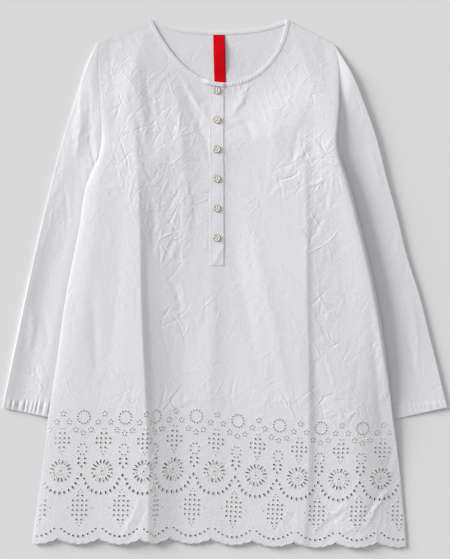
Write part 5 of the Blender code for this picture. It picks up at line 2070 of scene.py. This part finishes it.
@dataclass
class Placket:
    """The buttoned placket: an upper strip over an under one, stitched down both sides and boxed."""

    shape: BodyShape
    stitch_inset: float = 1.6
    lift: float = 0.1
    tilt: float = 0.35  # of the free edge above the sewn one
    row_step: float = 1.6
    sunk: float = 0.5  # how far the under strip lies below the front's cloth
    left: float = NOTCH_LEFT - 0.3
    top: Strip = field(init=False)
    under: Strip = field(init=False)
    trims: list[Piece] = field(default_factory=list)

    def build(self, kit: Kit) -> None:
        """Builds both strips and the topstitching."""
        left = self.left
        start = NECK_FRONT_DEPTH + BINDING_WIDTH - 1.2
        down = np.arange(start, PLACKET_END + 0.5, self.row_step)
        middle = self.shape.front_height(BUTTON_X + 0 * down, down)
        middle = np.convolve(np.pad(middle, 4, mode="edge"), np.ones(9) / 9, mode="valid")
        sway = 0.5 * np.sin(down / 38.0) + 0.3 * np.sin(down / 17.0)
        height = middle + self.lift
        self.top = Strip("placket_top_cloth", "placket_top", crown=0.12, wall=0.8, across=15)
        share, level = self.top.share, down[:, None]
        dimple = 0.08 * np.sin(level / 7.3 + 3 * share) * np.sin(math.pi * share)
        ridge = 0.2 * np.exp(-(((share - 0.5) * 22 + (level - 372) * 0.5) ** 2) / 9)
        far = (left + PLACKET_WIDTH + 0.4 * sway, down, height + self.tilt)
        self.top.build((left + sway, down, height), far, dimple + ridge, kit.binding)
        self.under = Strip("placket_under_cloth", "placket_under", crown=0.1, wall=0.6, across=7)
        low = down[down < NOTCH_END]
        base = middle[: len(low)] - self.sunk
        near, far = ((x + 0 * low, low, base) for x in (NOTCH_LEFT + 0.3, NOTCH_RIGHT + 1.2))
        self.under.build(near, far, 0.0, kit.binding)
        self._topstitch(down, height, sway, kit)

    def _topstitch(self, down: Array, height: Array, sway: Array, kit: Kit) -> None:
        """Stitches down both sides, round the end and across the box."""
        inset, left, right = self.stitch_inset, self.left, self.left + PLACKET_WIDTH
        lines = []
        for x, drift in ((left + inset, sway), (right - inset, 0.4 * sway)):
            z = height + self.tilt * (x - left) / PLACKET_WIDTH + 0.15
            lines.append(place(x + drift, down, z)[:-1])
        for level in (PLACKET_BOX, PLACKET_END - inset):
            across = np.linspace(left + inset, right - inset, 12)
            z = np.interp(level, down, height) + self.tilt * (across - left) / PLACKET_WIDTH + 0.2
            lines.append(place(across, level + 0 * across, z))
        self.trims.append(kit.topstitch("placket_topstitching", lines, PLACKET_STITCH))

    def declare(self) -> None:
        """Hides the nodes of both strips, and sets them and the topstitching on the root body."""
        self.top.declare("binding", ["placket_under_cloth", "front_cloth"], self.trims)
        self.under.declare("binding", ["front_cloth"])


@dataclass
class RibbonLabel:
    """The folded ribbon sewn in at the back neck, left bare."""

    shape: BodyShape
    x: float = -9.6
    width: float = 17.8
    bottom: float = 100.5
    lean: float = 1.8
    bow: float = 1.5
    strip: Strip = field(init=False)

    def build(self, kit: Kit) -> None:
        """Builds the ribbon."""
        neck = self.shape.neck_back
        seam = float(np.interp(self.x, neck[:, 0], neck[:, 1])) + BINDING_WIDTH - 0.6
        share = np.linspace(0, 1, 60)
        down = blend(seam, self.bottom, share)
        middle = self.x + self.lean * share
        bow = self.bow * ease(np.sin(math.pi * np.minimum(share / 0.85, 1)))
        height = FLOOR_LAYER + 0.7 + bow
        near = (middle - self.width / 2, down, height)
        far = (middle + self.width / 2, down, height + 0.7 * bow / self.bow)
        self.strip = Strip("label_ribbon", "label_loop", crown=0.1, wall=0.3, across=11)
        wave = 0.10 * np.sin(down[:, None] / 9.0 + 4 * self.strip.share)
        self.strip.build(near, far, wave, kit.satin)

    def declare(self) -> None:
        self.strip.declare("ribbon", ["back_cloth"])


# --- Buttons ---


@dataclass
class Buttons:
    """Six four-hole shirt buttons with their thread."""

    shape: BodyShape
    count: int = 6
    first: float = 110.5
    pitch: float = 45.7
    radius: float = 5.75
    thick: float = 1.8
    hole: float = 0.95
    hole_offset: float = 1.85
    lift: float = 0.3  # off the cloth
    thread: float = 0.45
    steps: int = 48
    pieces: list[tuple[Piece, Piece]] = field(default_factory=list)  # each button and its thread

    def _profile(self) -> list[tuple[float, float, float]]:
        """Points of the turned profile, from the dished middle over the rim to the underside."""
        dish = ((self.radius, 0.28), (1.9, 0.26), (1.5, 0.17))  # in from the edge, below the top
        dish += ((1.1, 0.05), (0.7, 0.0), (0.3, 0.15), (0.05, 0.5), (0.0, 0.9))
        base = ((0.35, 0.5), (1.1, 0.25), (2.2, 0.0), (self.radius, 0.0))  # in from the edge, up
        points = [(inset, self.thick - below) for inset, below in dish] + list(base)
        return [((self.radius - inset) * MM, 0, height * MM) for inset, height in points]

    def _pins(self) -> Mesh:
        """Four pins that the holes are drilled with."""
        work = bmesh.new()
        size = {"radius1": self.hole * MM, "radius2": self.hole * MM, "depth": 4 * self.thick * MM}
        for x in (-self.hole_offset, self.hole_offset):
            for y in (-self.hole_offset, self.hole_offset):
                made = bmesh.ops.create_cone(work, cap_ends=True, segments=16, **size)
                bmesh.ops.translate(work, verts=made["verts"], vec=(x * MM, y * MM, 0))
        mesh = bpy.data.meshes.new("button_pins")
        work.to_mesh(mesh)
        work.free()
        return mesh

    def _turned(self) -> Mesh:
        """The drilled button round its own middle."""
        points = self._profile()
        lines = [(i, i + 1) for i in range(len(points) - 1)]
        turned = linked("button_turning", new_mesh("button_profile", points, lines))
        screw = turned.modifiers.new("turn", "SCREW")
        screw.steps = screw.render_steps = self.steps
        screw.use_merge_vertices = True
        screw.merge_threshold = 0.00001
        drill = turned.modifiers.new("holes", "BOOLEAN")
        drill.object = pins = linked("button_pins", self._pins())
        drill.operation = "DIFFERENCE"
        drill.solver = "EXACT"
        finished = baked_mesh(turned)
        for helper in (turned, pins):
            bpy.data.objects.remove(helper)
        return smoothed(finished, 40)

    def build(self, kit: Kit) -> None:
        """Builds the buttons and the thread through their holes."""
        pattern = self._turned()
        local = np.empty(len(pattern.vertices) * 3)
        pattern.vertices.foreach_get("co", local)
        local = local.reshape(-1, 3)
        for number in range(self.count):
            down = self.first + number * self.pitch
            reach = np.array([down - self.radius, down, down + self.radius])
            cloth = float(self.shape.front_height(BUTTON_X + 0 * reach, reach).max())
            turn = 0.5 * math.sin(2.3 * number)
            cos, sin = math.cos(turn), math.sin(turn)
            spin = np.array([[cos, sin, 0], [-sin, cos, 0], [0, 0, 1]])
            centre = np.array([BUTTON_X * MM, (TOP_Y - down) * MM, (cloth + self.lift) * MM])
            mesh = pattern.copy()
            mesh.vertices.foreach_set("co", (local @ spin + centre).ravel())
            map_points(mesh, "disc", local[:, :2] / (self.radius * MM))
            mesh.materials.clear()
            mesh.materials.append(kit.pearl)
            piece = linked(f"button_{number + 1}_pearl", mesh)
            strands = [(strand * MM) @ spin + centre for strand in self._strands()]
            thread = kit.sew(f"button_{number + 1}_thread", strands, self.thread, sides=6)
            self.pieces.append((piece, thread))
        LOG.info("buttons: %d", len(self.pieces))

    def _strands(self) -> list[Array]:
        """Two crossed strands of thread over the dish, from hole to hole."""
        low, high = self.thick - 1.4, self.thick - 0.28
        strands = []
        for sign in (-1, 1):
            points = ((-0.68, low), (-0.5, high), (0, high + 0.1), (0.5, high), (0.68, low))
            o, lift = self.hole_offset, 0.12 * (sign + 1)
            strands.append(np.array([(at * o, at * o * sign, height + lift) for at, height in points]))
        return strands

    def declare(self) -> None:
        """Hides the node each button stands for, and sets each button and its thread on the root body."""
        for number, (piece, thread) in enumerate(self.pieces):
            dress(piece, f"button_{number + 1}", [thread])


# --- Studio ---


@dataclass
class Studio:
    """A plain pale floor, soft light from the upper left and a camera straight above."""

    view_height: float = 866.45  # of the floor that the picture takes in
    centre_x: float = -0.3
    centre_y: float = 4.7
    distance: float = 3200.0
    cloth_level: float = 5.0
    key_azimuth: float = 153.0
    key_elevation: float = 12.5
    key_angle: float = 24.0
    key_strength: float = 5.42
    fill: float = 0.45

    def build(self) -> None:
        """Builds the floor, lights and camera."""
        self._floor()
        self._light()
        self._camera()
        bpy.context.scene.view_settings.view_transform = "Standard"

    def _floor(self) -> None:
        """A wide plain floor."""
        work = bmesh.new()
        bmesh.ops.create_grid(work, x_segments=2, y_segments=2, size=6.0)
        mesh = bpy.data.meshes.new("floor")
        work.to_mesh(mesh)
        work.free()
        mesh.materials.append(FloorFinish().material())
        linked("floor", mesh)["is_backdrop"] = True

    def _light(self) -> None:
        """One soft light from far off and an even surround."""
        light = bpy.data.lights.new("key", "SUN")
        light.angle = math.radians(self.key_angle)
        light.energy = self.key_strength
        azimuth, elevation = math.radians(self.key_azimuth), math.radians(self.key_elevation)
        level = math.cos(elevation)
        towards = Vector((math.cos(azimuth) * level, math.sin(azimuth) * level, math.sin(elevation)))
        linked("key", light).rotation_euler = towards.to_track_quat("Z", "Y").to_euler()
        world = bpy.data.worlds.new("surround")
        world.use_nodes = True
        surround = {"Color": (1.0, 1.0, 1.0, 1), "Strength": self.fill}
        Nodes(world.node_tree).feed(world.node_tree.nodes["Background"], surround)
        bpy.context.scene.world = world

    def _camera(self) -> None:
        """A long lens straight above the cloth."""
        data = bpy.data.cameras.new("camera")
        data.sensor_width = 36.0
        data.lens = data.sensor_width * self.distance / self.view_height
        data.clip_end = 20.0
        camera = linked("camera", data)
        level = self.cloth_level + self.distance
        camera.location = (self.centre_x * MM, self.centre_y * MM, level * MM)
        bpy.context.scene.camera = camera


# --- The whole ---


def main() -> Sequence:
    """Builds every piece in order.

    Returns:
        The CAD model's box, straight after loading.
    """
    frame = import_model()
    cad_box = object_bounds()
    LOG.info("frame: %d nodes", len(frame["nodes"]))
    Studio().build()
    groups = CottonGroups()
    binding = CottonFinish("cotton_binding", groups, crumple_depth=0.06 * MM, crumple_scale=60.0)
    kit = Kit(
        cotton=CottonFinish("white_cotton", groups).material(),
        binding=binding.material(),
        thread=ThreadFinish("white_thread").material(),
        edging=ThreadFinish("warm_white_thread", colour=(0.86, 0.84, 0.83)).material(),
        satin=RibbonFinish().material(),
        pearl=PearlFinish().material(),
    )
    shape = BodyShape()
    right = (SLEEVE_RIGHT_RINGS, SLEEVE_RIGHT_CREASES, RIGHT_UPPER_ARM, RIGHT_FOREARM, shape)
    left = (SLEEVE_LEFT_RINGS, SLEEVE_LEFT_CREASES, LEFT_UPPER_ARM, LEFT_FOREARM, shape)
    parts = (
        BodyPanels(shape),
        Sleeve(Side.RIGHT, *right, crinkled=0.5, pucker=0.55, seed=71),
        Sleeve(Side.LEFT, *left, crinkled=0.25, pucker=0.12, seed=91),
        NeckBindings(shape),
        Placket(shape),
        RibbonLabel(shape),
        Buttons(shape),
    )
    for part in parts:
        part.build(kit)
    for part in parts:
        part.declare()
    return cad_box


if __name__ == "__main__":
    logging.basicConfig(level=logging.INFO, format="%(name)s: %(message)s")
    box_at_load = main()
